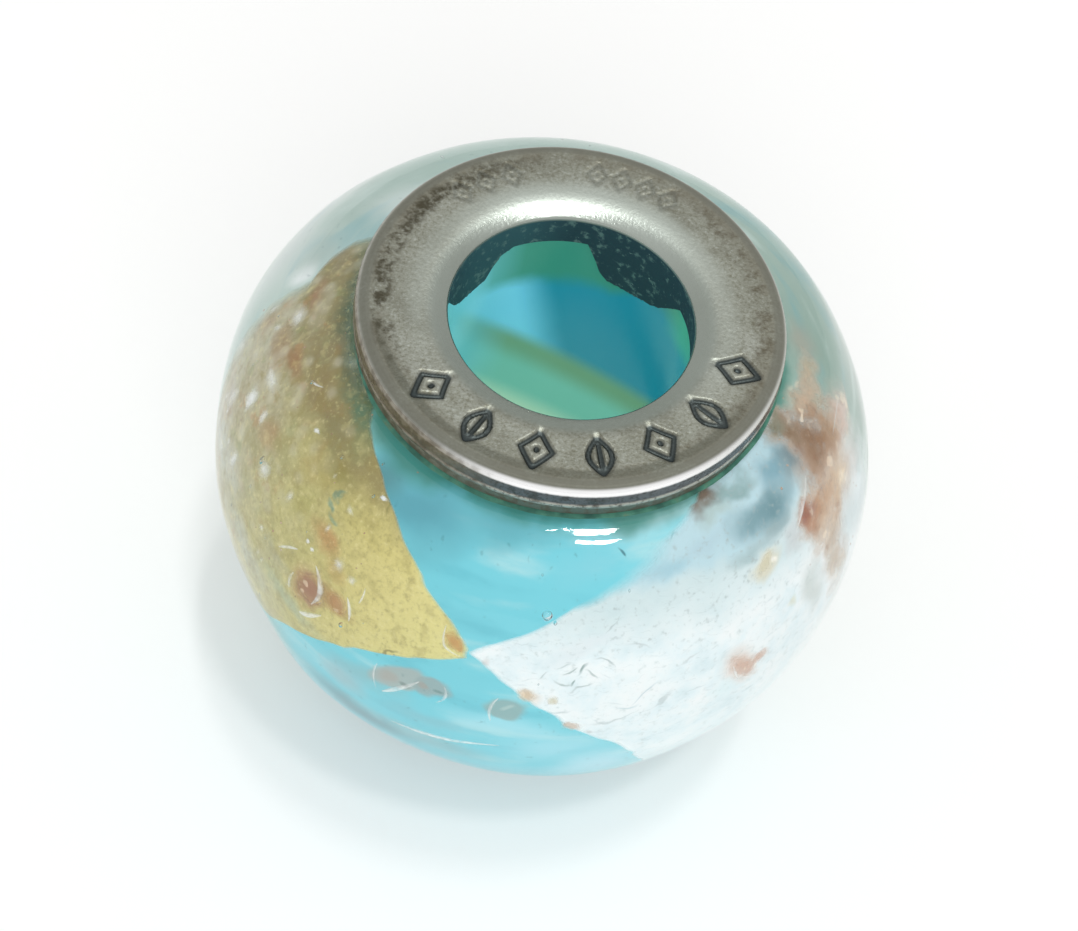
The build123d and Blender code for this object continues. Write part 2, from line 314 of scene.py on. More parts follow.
glass_core.data.materials.append(turquoise)
glass_core.data.materials.append(bore_glass)
wet_radius = bore_radius + 0.10
for face in glass_core.data.polygons:
    if hypot(*face.center[:2]) < 0.001 * wet_radius:
        face.material_index = 1
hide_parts("glass_core")
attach(glass_core, "root")


# The gold leaf: beaten gold alloy, laid on the hot core front left and rolled in with it.
# It is bright and whole towards its tip in front, and browned and see-through on the left.
def row_at(rows, height):
    """Where a leaf patch starts and stops at a height, from its table of rows."""
    if height <= rows[0][0]:
        return rows[0][1:]
    for (h0, a0, b0), (h1, a1, b1) in zip(rows, rows[1:]):
        if height <= h1:
            t = (height - h0) / (h1 - h0)
            return a0 + t * (a1 - a0), b0 + t * (b1 - b0)
    return rows[-1][1:]


def leaf(name, rows, lift, crinkle, seed):
    """A leaf patch on the core with slightly torn edges. Its rows give the height as a share
    of the core's half height, and the azimuths between which the leaf lies there. It lies down
    on the core at its edge. Its flank attribute is 0 in its middle and 1 at its edge."""
    edge_lift, edge_share, tear, thickness_in_m = 0.012, 0.08, 0.9, 0.00001
    bpy.ops.object.select_all(action="DESELECT")
    bpy.ops.mesh.primitive_grid_add(x_subdivisions=110, y_subdivisions=130, size=2)
    patch = bpy.context.object
    patch.name = patch.data.name = name
    flank = patch.data.attributes.new("flank", "FLOAT", "POINT")
    for vertex in patch.data.vertices:
        to_edge = max(abs(vertex.co.x), abs(vertex.co.y))
        flank.data[vertex.index].value = to_edge
        u, v = vertex.co.x / 2 + 0.5, vertex.co.y / 2 + 0.5
        height = rows[0][0] + v * (rows[-1][0] - rows[0][0])
        start, stop = row_at(rows, height)
        start += tear * noise.fractal(Vector((height * 9, seed, 0)), 0.9, 2.1, 3)
        stop += tear * noise.fractal(Vector((height * 9, seed + 7, 3)), 0.9, 2.1, 3)
        azimuth = start + u * (stop - start)
        from_ends = min(1.0, 12 * min(v, 1 - v))
        ripple = 0.035 * (1 - from_ends) * noise.noise(Vector((azimuth * 0.4, seed, 5)))
        flat = on_barrel(core_form, azimuth, (height + ripple) * core_form.half)
        bend = crinkle * noise.fractal(flat * 1.7 + Vector((seed, 0, 0)), 0.8, 2.2, 4)
        raised = edge_lift + min(1.0, (1 - to_edge) / edge_share) * (lift - edge_lift + bend)
        vertex.co = on_barrel(core_form, azimuth, (height + ripple) * core_form.half, raised)
    faces_outwards(merge=0.0005)
    settle(patch)
    solid = patch.modifiers.new("leaf_thickness", "SOLIDIFY")
    solid.thickness, solid.offset = thickness_in_m, 1.0
    bpy.ops.object.modifier_apply(modifier="leaf_thickness")
    bpy.ops.object.shade_smooth_by_angle(angle=radians(60))
    return patch


gold_rows = [(-0.62, -72, -60), (-0.46, -76, -51), (-0.29, -84, -42), (-0.19, -87, -34),
             (-0.05, -90, -26), (0.06, -92, -18), (0.15, -94, -10.5), (0.22, -95, -5.4),
             (0.27, -95.5, -4.8), (0.33, -96, -7.0), (0.45, -96.5, -12.6), (0.60, -97, -20.5),
             (0.68, -98, -26.5), (0.72, -105, -29.5), (0.80, -111, -37), (0.90, -113, -49),
             (0.985, -114, -58)]
gold_leaf = leaf("gold_leaf_patch", gold_rows, 0.028, 0.010, 11)


def shadowless(piece):
    """Lets light pass a piece on its way to what lies right under it. In the real bead they are
    fused, so no shadow falls there, and the piece's edge would only put a dark line."""
    piece.visible_shadow = piece.visible_diffuse = False


# Gold leaf of about 22 carat: metallic, satin from its fine crinkles, a tenth of a mm apart.
# Where it is thin it goes olive and milky, and pale glass shows between its flakes.
gold, tree = blank_material("crinkled_gold_leaf")
place = place_on_bead(tree, wander=0.25, grain=1.3)
share = add(tree, "MapRange", {"Value": place.azimuth, "From Min": -110.0, "From Max": -5.0})
metal = add(tree, "ValToRGB", {"Fac": share}, stops=[
    (0.0, "#BCBDA5"), (0.15, "#C5BF9F"), (0.29, "#C6BE9D"), (0.40, "#C1B98B"), (0.53, "#CDC584"),
    (0.62, "#CCC37E"), (0.70, "#D8CC82"), (0.80, "#E6D98D"), (1.0, "#F1E79B")])
left_side = add(tree, "MapRange", {"Value": place.azimuth, "From Min": -40.0, "From Max": -72.0})
patches = add(tree, "TexNoise", {"Vector": place.mm, "Scale": 1.6, "Detail": 5.0,
                                 "Roughness": 0.65})
stains = add(tree, "TexNoise", {"Vector": place.mm, "Scale": 2.3, "Detail": 4.0, "Roughness": 0.6})
# The leaf browns towards its top, and its grey-green band right under the flange is painted shade.
metal = tinted(tree, metal,
               ("#D2D1B2", patches, 0.50, 0.66, 0.50, left_side),
               ("#A5985B", patches, 0.46, 0.32, 0.55, left_side),
               ("#9B8D5B", place.height, 2.4, 3.2, 0.85),
               ("#C3955F", stains, 0.55, 0.68, 0.55, left_side),
               ("#A6AC76", stains, 0.45, 0.32, 0.55, left_side),
               ("#6A7756", place.height, 3.35, 3.8, 0.85))
# The first spot, grey green under the flange, is painted shade as well.
metal = with_spots(tree, metal, place, [
    (-53, 3.7, 1.5, 0.4, "#628868", 0.9), (-46, 3.45, 0.8, 0.4, "#979A65", 0.7),
    (-103, 3.3, 1, 0.4, "#A49776", 0.7), (-92, 3.08, 0.7, 0.28, "#B48C6C", 0.7),
    (-88, 2.8, 0.4, 0.28, "#D1CAB4", 0.8), (-76, 2.75, 0.8, 0.25, "#AD8051", 0.85, 5),
    (-82, 2.48, 0.9, 0.38, "#AF8B65", 0.7), (-86, 2.2, 0.5, 0.3, "#C5C2A9", 0.7),
    (-76, 2.2, 0.5, 0.28, "#D8D5C1", 0.7, 10), (-92, 1.85, 0.35, 0.6, "#BA9774", 0.7, -20),
    (-66, 1.8, 0.8, 0.5, "#B59161", 0.7, 15), (-50, 2.5, 1, 0.55, "#BCAC64", 0.6),
    (-47, 2.85, 0.7, 0.4, "#9C914A", 0.7), (-60, 1.95, 0.6, 0.5, "#B1AC70", 0.6),
    (-67, 1.25, 0.9, 0.4, "#BAB584", 0.6), (-41, 1.6, 0.6, 0.45, "#CB985B", 0.85),
    (-49, 1.8, 0.5, 0.4, "#B6AF5F", 0.6), (-42.3, 2.55, 0.08, 0.25, "#789F88", 0.85, -25, 0.7),
    (-43, 2.25, 0.16, 0.12, "#789F88", 0.85, 0, 0.8),
    (-41.5, 2.12, 0.22, 0.08, "#87A88D", 0.75, 10, 0.8),
    (-32, 2.95, 0.05, 0.3, "#9E9655", 0.7, 12, 0.7),
    (-19.5, 0.25, 0.06, 0.24, "#93894F", 0.8, -40, 0.7), (-39.5, 0.35, 0.75, 0.7, "#BA8961", 0.85),
    (-33.5, 0.6, 0.6, 0.45, "#C79A5F", 0.85), (-35.5, 1.3, 0.5, 0.35, "#CDAB65", 0.6),
    (-63, 0.6, 1, 0.45, "#BBBB8F", 0.6), (-70, 0.15, 0.9, 0.6, "#D1D3C2", 0.8),
    (-50, 0.15, 0.9, 0.4, "#BBB890", 0.8), (-44, -0.45, 1.4, 0.45, "#BBC4A1", 0.85, -10),
    (-58, -0.7, 1.6, 0.6, "#C7CAB6", 0.85, -10), (-90, 1, 1.2, 0.8, "#CDCEB6", 0.7),
    (-80, -0.2, 1.4, 0.7, "#CDD3C8", 0.85), (-84, 0.55, 0.7, 0.5, "#C6BDAE", 0.8),
    (-56, 3.18, 1.1, 0.4, "#8E885B", 0.6), (-65, 3.15, 0.9, 0.4, "#9B8758", 0.6),
    (-75, 3.35, 0.9, 0.4, "#998C66", 0.5), (-82, 2.4, 0.8, 0.3, "#AA936A", 0.6),
    (-92, 1.9, 0.6, 0.8, "#B3A57F", 0.6, -15), (-68, 2.2, 0.7, 0.4, "#B0A780", 0.5)])
grain = add(tree, "TexNoise", {"Vector": place.mm, "Scale": 9.0, "Detail": 4.0, "Roughness": 0.7})
mottle = add(tree, "TexNoise", {"Vector": place.mm, "Scale": 3.2, "Detail": 3.0})
flakes = add(tree, "TexVoronoi", {"Vector": place.mm, "Scale": 2.2}, feature="SMOOTH_F1")
metal = tinted(tree, metal,
               ("#A69652", mottle, 0.50, 0.32, 0.32),
               ("#EFE3A2", mottle, 0.54, 0.70, 0.26),
               ("#93844A", grain, 0.50, 0.32, 0.32),
               ("#FCF1B6", grain, 0.54, 0.70, 0.34),
               ("#E0DCC5", flakes, 0.42, 0.10, 0.45, left_side))
relief = add(tree, "Bump", {"Height": mottle, "Strength": 0.35, "Distance": 0.00005})
flank = add(tree, "Attribute", attribute_name="flank").outputs["Fac"]
whole = add(tree, "MapRange", {"Value": left_side, "To Min": 0.965, "To Max": 0.86})
cover = add(tree, "MapRange", {"Value": flank, "From Min": 1.0, "From Max": whole})
shader = add(tree, "BsdfPrincipled", {"Base Color": metal, "Metallic": 0.35, "Roughness": 0.50,
                                      "Alpha": cover, "Normal": relief})
add(tree, "OutputMaterial", {"Surface": shader})
gold_leaf.data.materials.append(gold)
shadowless(gold_leaf)
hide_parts("gold_foil")
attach(gold_leaf, "root")


# The silver leaf: fine silver beaten thin and laid on front right, its left tip on the gold's.
# It stays near white, with grey crinkles, and thins to blue where the glass shows through.
silver_rows = [(-0.82, 38, 74), (-0.62, 33.5, 81), (-0.48, 29.5, 88), (-0.34, 25, 93),
               (-0.21, 18, 97), (-0.08, 12, 100), (0.02, 7, 101), (0.10, 2.8, 102),
               (0.18, -0.8, 103), (0.255, -5.4, 104), (0.33, -2.4, 104), (0.43, 4.0, 103),
               (0.52, 9.5, 101), (0.60, 13.5, 99), (0.67, 19.5, 97), (0.75, 26, 94),
               (0.82, 32, 90), (0.89, 42, 86), (0.985, 55, 80)]
silver_leaf = leaf("silver_leaf_patch", silver_rows, 0.032, 0.012, 23)

# Fine silver leaf: milky under the glass, so hardly metallic, rough, with fine grey specks and
# hair-fine scratches. Near the flange it thins out and blue glass shows through.
silver, tree = blank_material("crinkled_silver_leaf")
place = place_on_bead(tree, wander=0.28, grain=1.1)
cloud = add(tree, "TexNoise", {"Vector": place.mm, "Scale": 1.2, "Detail": 5.0, "Roughness": 0.6})
white = add(tree, "ValToRGB", {"Fac": cloud}, stops=[
    (0.28, "#DDEFF4"), (0.42, "#EBF8FC"), (0.55, "#F4FCFE"), (0.75, "#FBFEFF")])
thin = add(tree, "MapRange", {"Value": place.azimuth, "From Min": 20.0, "From Max": 60.0,
                              "To Min": 2.80, "To Max": 2.60})
over_thin = add(tree, "Math", {0: place.height, 1: thin}, operation="SUBTRACT")
# The leaf greys towards its top as painted shade, and past a line near the flange it thins to blue.
white = tinted(tree, white, ("#CFE3E6", place.height, 1.0, 2.6, 0.85),
               ("#BEDEE8", over_thin, -0.25, 0.15, 0.90))
white = with_spots(tree, white, place, [
    (34, 2.92, 0.95, 0.28, "#A2CCDA", 0.75, 0, 1), (45, 3.05, 1, 0.22, "#B8D5E0", 0.8),
    (50, 3.4, 0.9, 0.28, "#B2C8C6", 0.8), (56, 3.6, 1.3, 0.22, "#88AAAA", 0.85),
    (58, 3, 1, 0.4, "#78A0AA", 0.9), (65, 2.95, 1.1, 0.5, "#68929C", 0.95),
    (70, 3.4, 0.9, 0.4, "#78A7B6", 0.9), (75.5, 3.2, 0.7, 0.6, "#768C92", 0.95),
    (62, 2.62, 1, 0.26, "#8FA8AB", 0.7, 0, 1), (53, 2.52, 0.8, 0.28, "#9CB9BD", 0.7, 0, 1),
    (47.5, 3.66, 0.8, 0.28, "#745C46", 0.95, 0, 0.8), (66, 2.2, 0.5, 0.45, "#CDD3D5", 0.8),
    (70, 0.6, 0.5, 1.1, "#CBD5D2", 0.8, 10), (85, 0.8, 1, 0.9, "#D4E3E6", 0.8),
    (92, 0.3, 1, 0.8, "#DAE6E8", 0.8), (82, -0.9, 1.2, 0.6, "#E5EAE6", 0.7),
    (96, 1.5, 0.8, 0.6, "#D7D2CE", 0.85), (101, 1.8, 0.8, 0.7, "#CBCAC2", 0.85),
    (99, 2.5, 0.8, 0.4, "#A6AFA2", 0.85), (86, 2, 1.6, 1.4, "#D9D1C8", 0.8),
    (50, -0.05, 0.95, 0.55, "#E2CEC0", 0.8, -45), (47, -0.5, 0.6, 0.4, "#DBF3F8", 0.6, -50),
    # The tiny white spot beside the olive one on the next line is a painted highlight on it.
    (57, 2.15, 0.6, 0.34, "#DED9C2", 0.9, 20, 0.8), (58.7, 2.15, 0.14, 0.12, "#FFFCF2", 0.9),
    (63, 0.8, 0.25, 0.18, "#DEE1CC", 0.7, 0, 0.8),
    (16.6, 0.95, 0.05, 0.22, "#739493", 0.8, -25, 0.8),
    (15.4, 0.6, 0.05, 0.13, "#739493", 0.8, -25, 0.8),
    (12.3, 1.15, 0.2, 0.05, "#B9CACC", 0.7, 20, 0.8),
    (29, 0.2, 0.42, 0.05, "#B9CED6", 0.6, 35, 0.8),
    (20.5, -0.85, 0.18, 0.12, "#C4CBCC", 0.8, 0, 0.8),
    (26, -0.05, 0.3, 0.06, "#BFD6DC", 0.6, -10, 0.8), (-1, 0.8, 0.18, 0.14, "#D5CECA", 0.7),
    (7, 0.3, 0.3, 0.3, "#E2D3C0", 0.8), (37, 3.47, 0.16, 0.04, "#849AA0", 0.8, 10, 0.7),
    (17, 1.6, 1.6, 0.35, "#E5EEF2", 0.6, 25), (14.2, 0.95, 0.22, 0.04, "#93A8A6", 0.7, 35, 0.8),
    (18.4, 0.78, 0.24, 0.04, "#A3B5B4", 0.7, -40, 0.8),
    (13.6, 0.62, 0.26, 0.04, "#A3B5B4", 0.7, -30, 0.8),
    (17.0, 0.48, 0.3, 0.04, "#A9B9B9", 0.7, 15, 0.8),
    (20.5, 1.15, 0.3, 0.04, "#B4C3C4", 0.7, -15, 0.8),
    (9.5, 0.85, 0.2, 0.04, "#B4C3C4", 0.6, 60, 0.8), (24, -0.45, 0.6, 0.05, "#C3D0D2", 0.7, 22),
    (33, -0.1, 0.5, 0.05, "#C3D0D2", 0.7, 40), (38, 0.9, 0.4, 0.05, "#C8D4D6", 0.6, 30),
    (27, 1.5, 0.35, 0.05, "#BCCACC", 0.6, -20), (12, -0.2, 0.45, 0.05, "#BFCDCF", 0.7, 10),
    (22, 2.1, 0.3, 0.04, "#A9BABC", 0.6, 50)])
fine = add(tree, "TexNoise", {"Vector": place.mm, "Scale": 7.0, "Detail": 3.0, "Roughness": 0.6})
scratch_space = add(tree, "Mapping", {"Vector": place.flat, "Rotation": (0, 0, radians(35)),
                                      "Scale": (0.8, 6.0, 1.0)})
hairs = add(tree, "TexNoise", {"Vector": scratch_space, "Scale": 2.6, "Detail": 4.0})
white = tinted(tree, white,
               ("#B6C6C6", fine, 0.52, 0.80, 0.45),
               ("#94A3A4", fine, 0.56, 0.80, 0.35, (place.height, 0.9, 1.8)),
               ("#A9BCC0", hairs, 0.60, 0.72, 0.30))
flank = add(tree, "Attribute", attribute_name="flank").outputs["Fac"]
blue_film = overlap(tree, (place.azimuth, 52.0, 22.0), (place.height, 2.3, 3.1))
past_right = add(tree, "MapRange", {"Value": place.azimuth, "From Min": 84.0, "From Max": 98.0,
                                    "To Max": 0.7})
thinned = add(tree, "Math", {0: blue_film, 1: past_right}, operation="MAXIMUM")
whole = add(tree, "MapRange", {"Value": thinned, "To Min": 0.965, "To Max": 0.60})
worn_through = add(tree, "MapRange", {"Value": thinned, "To Min": 1.0, "To Max": 0.70})
edge_share = add(tree, "MapRange", {"Value": flank, "From Min": 1.0, "From Max": whole})
cover = add(tree, "Math", {0: edge_share, 1: worn_through}, operation="MULTIPLY")
relief = add(tree, "Bump", {"Height": cloud, "Strength": 0.35, "Distance": 0.0001})
shader = add(tree, "BsdfPrincipled", {"Base Color": white, "Metallic": 0.05, "Roughness": 0.55,
                                      "Alpha": cover, "Normal": relief})
add(tree, "OutputMaterial", {"Surface": shader})
silver_leaf.data.materials.append(silver)
shadowless(silver_leaf)
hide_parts("silver_foil")
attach(silver_leaf, "root")


# The copper chips: crushed copper glass, picked up hot on the leaf and flattened as it rolled.
# They stay brown-red grains with copper glitter, the largest in a streak at the right end.
def at_surface(azimuth, height, lift):
    """Turns a chip made round the origin, flat in X and Y, to lie on the core's surface."""
    point = on_barrel(core_form, azimuth, height, lift)
    step_up = on_barrel(core_form, azimuth, height + 0.02, lift) - point
    aside = Vector((cos(radians(azimuth)), sin(radians(azimuth)), 0))
    up = step_up.normalized()
    return Matrix.Translation(point) @ Matrix((aside, up, aside.cross(up))).transposed().to_4x4()


def round_pattern(detail):
    """An icosphere of radius 1 from which rounded grains are copied."""
    bpy.ops.object.select_all(action="DESELECT")
    bpy.ops.mesh.primitive_ico_sphere_add(subdivisions=detail, radius=1)
    pattern = bpy.context.object
    pattern.data.attributes.new("flank", "FLOAT", "POINT")
    return pattern


def pebble(pattern, matrix, sizes, turn, rough, seed, thin=0.0):
    """A rounded grain: a copy of the pattern pressed to its sizes in mm and made uneven. Its
    flank attribute is thin in the middle, seen from outside the bead, and 1 at its outline."""
    grain = pattern.copy()
    grain.data = pattern.data.copy()
    bpy.context.scene.collection.objects.link(grain)
    shift = Vector((seed * 3.1, seed, 0))
    for vertex, flank in zip(grain.data.vertices, grain.data.attributes["flank"].data):
        flank.value = thin + (1 - thin) * hypot(vertex.co.x, vertex.co.y)
        push = 1 + rough * noise.fractal(vertex.co * 1.3 + shift, 1.0, 2.0, 2)
        vertex.co = Vector(a * b * push for a, b in zip(vertex.co, sizes))
    grain.data.transform(matrix @ Matrix.Rotation(radians(turn), 4, "Z"))
    return grain


def joined(name, pieces):
    """The pieces as one object called name."""
    bpy.ops.object.select_all(action="DESELECT")
    for piece in pieces:
        piece.select_set(True)
    bpy.context.view_layer.objects.active = pieces[0]
    bpy.ops.object.join()
    pieces[0].name = pieces[0].data.name = name
    return pieces[0]


chip_places = [
    (-39.2, 0.38, 0.48, 0.58, 10), (-33.2, 0.58, 0.40, 0.34, -20), (-8.4, 1.22, 0.38, 0.20, -35),
    (7.0, 0.30, 0.24, 0.26, 0), (12.0, 0.18, 0.18, 0.20, 0), (16.5, -0.60, 0.30, 0.16, -20),
    (50.4, -0.05, 0.78, 0.38, -48), (54.4, -0.14, 0.42, 0.32, 0), (57.0, 2.15, 0.40, 0.24, 25)]
streak_rows = [(-0.22, 70, 90), (0.10, 66, 92), (0.35, 64, 97), (0.60, 63, 106), (0.975, 70, 110)]
copper_streak = leaf("copper_streak", streak_rows, 0.060, 0.006, 31)
chip_pattern, speck_pattern = round_pattern(3), round_pattern(1)
chips = []
for number, (azimuth, height, wide, tall, turn) in enumerate(chip_places):
    chips.append(pebble(chip_pattern, at_surface(azimuth, height, 0.045), (wide, tall, 0.02),
                        turn, 0.35, number))
dice = random.Random(5)
for number in range(70):
    in_gold = number % 2
    azimuth = dice.uniform(-98, -30) if in_gold else dice.gauss(82, 7)
    height = dice.uniform(-0.2, 3.9) if in_gold else dice.uniform(0.0, 4.0)
    size = dice.uniform(0.015, 0.04)
    chips.append(pebble(speck_pattern, at_surface(azimuth, height, 0.07),
                        (size, size * dice.uniform(0.6, 1.0), 0.02), dice.uniform(0, 180), 0.5,
                        number))
bpy.data.objects.remove(chip_pattern)
copper_chips = joined("copper_chips", chips)
settle(copper_chips, smooth=60)

# Copper aventurine glass: brown red, its edges dissolved into the clear glass, and full of plates
# of copper, under a tenth of a mm across, whose glitter is painted in as pale specks: painted
# glints.
copper, tree = blank_material("copper_aventurine_glass")
place = place_on_bead(tree, wander=0.12, grain=2.0)
cloud = add(tree, "TexNoise", {"Vector": place.mm, "Scale": 2.6, "Detail": 5.0, "Roughness": 0.65})
body = add(tree, "ValToRGB", {"Fac": cloud}, stops=[
    (0.30, "#B47A5A"), (0.45, "#C59878"), (0.58, "#D2B49C"), (0.72, "#E0CFC0")])
body = with_spots(tree, body, place, [
    (7, 0.3, 0.4, 0.5, "#DBC6A8", 0.9), (12, 0.18, 0.3, 0.3, "#DBD7BF", 0.9),
    (16.5, -0.6, 0.5, 0.3, "#D7C4B4", 0.9), (-8.2, 1.22, 0.7, 0.5, "#CF9A55", 0.9),
    (57, 2.15, 0.7, 0.6, "#DAD5B8", 0.9), (50, 0, 0.9, 0.9, "#D4AB94", 0.9),
    (-39, 0.4, 0.8, 0.8, "#A36F51", 0.9), (-33, 0.6, 0.5, 0.5, "#BA8B53", 0.9)], soft=0.3)
plates = add(tree, "TexVoronoi", {"Vector": place.mm, "Scale": 9.0})
glitter = add(tree, "SeparateColor", {"Color": plates.outputs["Color"]})
body = tinted(tree, body, ("#FFE6C8", glitter, 0.93, 0.97, 0.6))
flank = add(tree, "Attribute", attribute_name="flank").outputs["Fac"]
frayed = add(tree, "TexNoise", {"Vector": place.mm, "Scale": 2.2, "Detail": 4.0, "Roughness": 0.6})
edge = add(tree, "Math", {0: frayed, 1: 0.9, 2: flank}, operation="MULTIPLY_ADD")
solid_share = add(tree, "MapRange", {"Value": edge, "From Min": 1.38, "From Max": 0.62,
                                     "To Max": 0.85}, interpolation_type="SMOOTHSTEP")
shader = add(tree, "BsdfPrincipled", {"Base Color": body, "Metallic": 0.15, "Roughness": 0.42,
                                      "Alpha": solid_share})
add(tree, "OutputMaterial", {"Surface": shader})
copper_chips.data.materials.append(copper)

# Copper glass drawn out thin as dust: soft, rust red in one knot and pale tan where it thins.
copper_dust, tree = blank_material("copper_glass_dust")
place = place_on_bead(tree, wander=0.22, grain=1.6)
dust_spots = [
    (96, 2.4, 1.5, 0.6, "#D5BCAE", 0.6, -10), (101, 3.2, 1.1, 0.4, "#C0AE90", 0.5),
    (94, 3.15, 1.1, 0.5, "#C0AC94", 0.55), (90, 3.45, 0.8, 0.4, "#BAAC94", 0.45),
    (90, 3.2, 0.8, 0.5, "#C7AB90", 0.55), (85, 1.85, 1.1, 0.7, "#D9C09F", 0.55),
    (80, 2.1, 1.2, 0.9, "#C7A888", 0.65), (77, 1.6, 0.9, 0.85, "#C7A788", 0.6),
    (75.5, 1.3, 0.6, 0.7, "#CFB9A3", 0.4), (77.5, 0.8, 0.6, 0.9, "#C1AE97", 0.6, 10),
    (79, 0.15, 0.6, 0.9, "#C9B9A3", 0.5, 10), (80, 2.72, 1, 0.55, "#AA8B71", 0.7),
    (90.5, 2.6, 1, 0.65, "#AE8A62", 0.7), (87, 2.72, 0.85, 0.6, "#A17A57", 0.75),
    (84, 3, 0.75, 0.7, "#8B6542", 0.95, -10), (81.5, 3.45, 0.65, 0.55, "#876B4D", 0.95, -15),
    (79.5, 3.75, 0.7, 0.35, "#7F7E68", 0.85), (75.5, 2.15, 0.9, 0.55, "#BA916C", 0.8),
    (71.8, 2.2, 0.65, 0.5, "#AE7751", 0.95), (71.2, 2.34, 0.42, 0.28, "#974E2B", 0.95),
    (86, 1.75, 0.25, 0.2, "#F5E2C3", 0.6, 30)]
body = with_spots(tree, "#CBB8A8", place, [(*row[:5], 1.0, *row[6:]) for row in dust_spots],
                  soft=1.0)
cloud = add(tree, "TexNoise", {"Vector": place.mm, "Scale": 4.0, "Detail": 4.0, "Roughness": 0.6})
plates = add(tree, "TexVoronoi", {"Vector": place.mm, "Scale": 6.0})
glitter = add(tree, "SeparateColor", {"Color": plates.outputs["Color"]})
# The pale specks among these are painted glints of copper plates.
body = tinted(tree, body,
              ("#87542F", cloud, 0.48, 0.28, 0.40),
              ("#E8D4BC", cloud, 0.56, 0.74, 0.35),
              ("#FFE9CC", glitter, 0.95, 0.98, 0.7))
cover = with_spots(tree, "#000000", place,
                   [(*row[:4], "#FFFFFF", *row[5:]) for row in dust_spots], soft=1.0)
wisps = add(tree, "TexNoise", {"Vector": place.mm, "Scale": 1.9, "Detail": 5.0, "Roughness": 0.7})
thick = add(tree, "MapRange", {"Value": wisps, "From Min": 0.62, "From Max": 0.42,
                               "To Min": 0.65, "To Max": 1.3})
share = add(tree, "Math", {0: cover, 1: thick}, operation="MULTIPLY", use_clamp=True)
shader = add(tree, "BsdfPrincipled", {"Base Color": body, "Roughness": 0.45, "Alpha": share})
add(tree, "OutputMaterial", {"Surface": shader})
copper_streak.data.materials.append(copper_dust)
for piece in (copper_chips, copper_streak):
    shadowless(piece)
    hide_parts("copper_frit")
    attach(piece, "root")


# The clear casing: a coat of clear soda glass, gathered over the leaf and fire-polished.
# It is fused to the core, so its inner wall lies inside the core, and it thickens the colours
# to the bead's edge. Marvering by hand left it a few tenths of a millimetre out of round.
casing_form = SimpleNamespace(equator=7.0, end=4.55, half=4.08, shoulder=1.8)
inner_form = SimpleNamespace(equator=5.75, end=3.59, half=3.83, shoulder=1.35)
collar_radius, collar_depth = 3.3, 0.25
clear_casing = turned("clear_casing_coat", (collar_radius, low), [
    (casing_form.end, low), *side_moves(casing_form), (collar_radius, high),
    (collar_radius, high - collar_depth), (inner_form.end, high - collar_depth),
    *side_moves(inner_form, -1), (collar_radius, low + collar_depth), (collar_radius, low)], 180)


def round_the_axis(point):
    """A point's azimuth in degrees and its distance from the hole's axis."""
    return degrees(atan2(point.x, -point.y)), hypot(point.x, point.y)


def turn_between(azimuth, other):
    """The degrees from one azimuth to another, by the shorter way round."""
    return (other - azimuth + 180) % 360 - 180


# Each mark of the hand: azimuth, height, how far it stands out, its degrees and its height in mm.
hand_marks = [(-120, 1.6, 0.14, 45, 2.6), (-60, -2.2, -0.12, 30, 2.0), (95, 3.0, -0.08, 30, 1.6),
              (15, -2.6, 0.06, 30, 1.6), (150, 0.0, 0.06, 60, 3.0), (60, 0.5, -0.05, 40, 2.4)]
for vertex in clear_casing.data.vertices:
    point = clear_casing.matrix_world @ vertex.co
    (azimuth, reach), height = round_the_axis(point), point.z - bead_middle
    if reach < radius_at(casing_form, height) - 0.3 or abs(height) > casing_form.half - 0.02:
        continue
    push = 0.02 * noise.noise(point * 0.45)
    for spot_azimuth, spot_height, amount, wide, tall in hand_marks:
        aside = turn_between(spot_azimuth, azimuth)
        near = (aside / wide) ** 2 + ((height - spot_height) / tall) ** 2
        push += amount * max(0.0, 1 - near) ** 2
    push *= 1 - (height / casing_form.half) ** 8
    vertex.co += Vector((point.x, point.y, 0)) / reach * push
settle(clear_casing, smooth=50)

# Clear soda glass: IOR 1.51, a breath of green. Light that falls on the leaf passes straight
# through the coat, as it would arrive there all the same after bending.
clear, tree = blank_material("clear_soda_glass")
place = place_on_bead(tree)
swell = add(tree, "TexNoise", {"Vector": place.mm, "Scale": 0.45, "Detail": 2.0})
relief = add(tree, "Bump", {"Height": swell, "Strength": 0.12, "Distance": 0.0004})
shader = add(tree, "BsdfPrincipled", {"Base Color": "#FAFDFB", "Roughness": 0.03,
                                      "IOR": 1.51, "Transmission Weight": 1.0, "Normal": relief})
add(tree, "OutputMaterial", {"Surface": shader})
clear_casing.data.materials.append(clear)
shadowless(clear_casing)
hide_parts("clear_casing")
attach(clear_casing, "root")


# The air bubbles: air that was trapped as the casing was gathered over the rough leaf.
# Most are pinheads, drawn a little long by the rolling, and they shine at their rims.
dice = random.Random(17)
bubbles = []
large_pattern, pinhead_pattern = round_pattern(3), round_pattern(2)
named_bubbles = [(8, 2.44, 0.11, 0.12), (9.8, 2.30, 0.04, 0.05), (-62, 1.60, 0.06, 0.12),
                 (-30, 0.34, 0.05, 0.06)]
for azimuth, height, wide, tall in named_bubbles:
    bubbles.append(pebble(large_pattern, at_surface(azimuth, height, 0.30), (wide, tall, 0.07),
                          0, 0.1, azimuth))
for number in range(36):
    azimuth = dice.uniform(-102, -35) if number < 12 else dice.uniform(-180, 180)
    size = dice.uniform(0.012, 0.035)
    matrix = at_surface(azimuth, dice.uniform(-2.6, 3.6), dice.uniform(0.15, 0.7))
    bubbles.append(pebble(pinhead_pattern, matrix, (size, size * dice.uniform(1.0, 2.4), size),
                          0, 0.05, number))
air_bubbles = joined("air_bubbles", bubbles)
settle(air_bubbles, smooth=180)

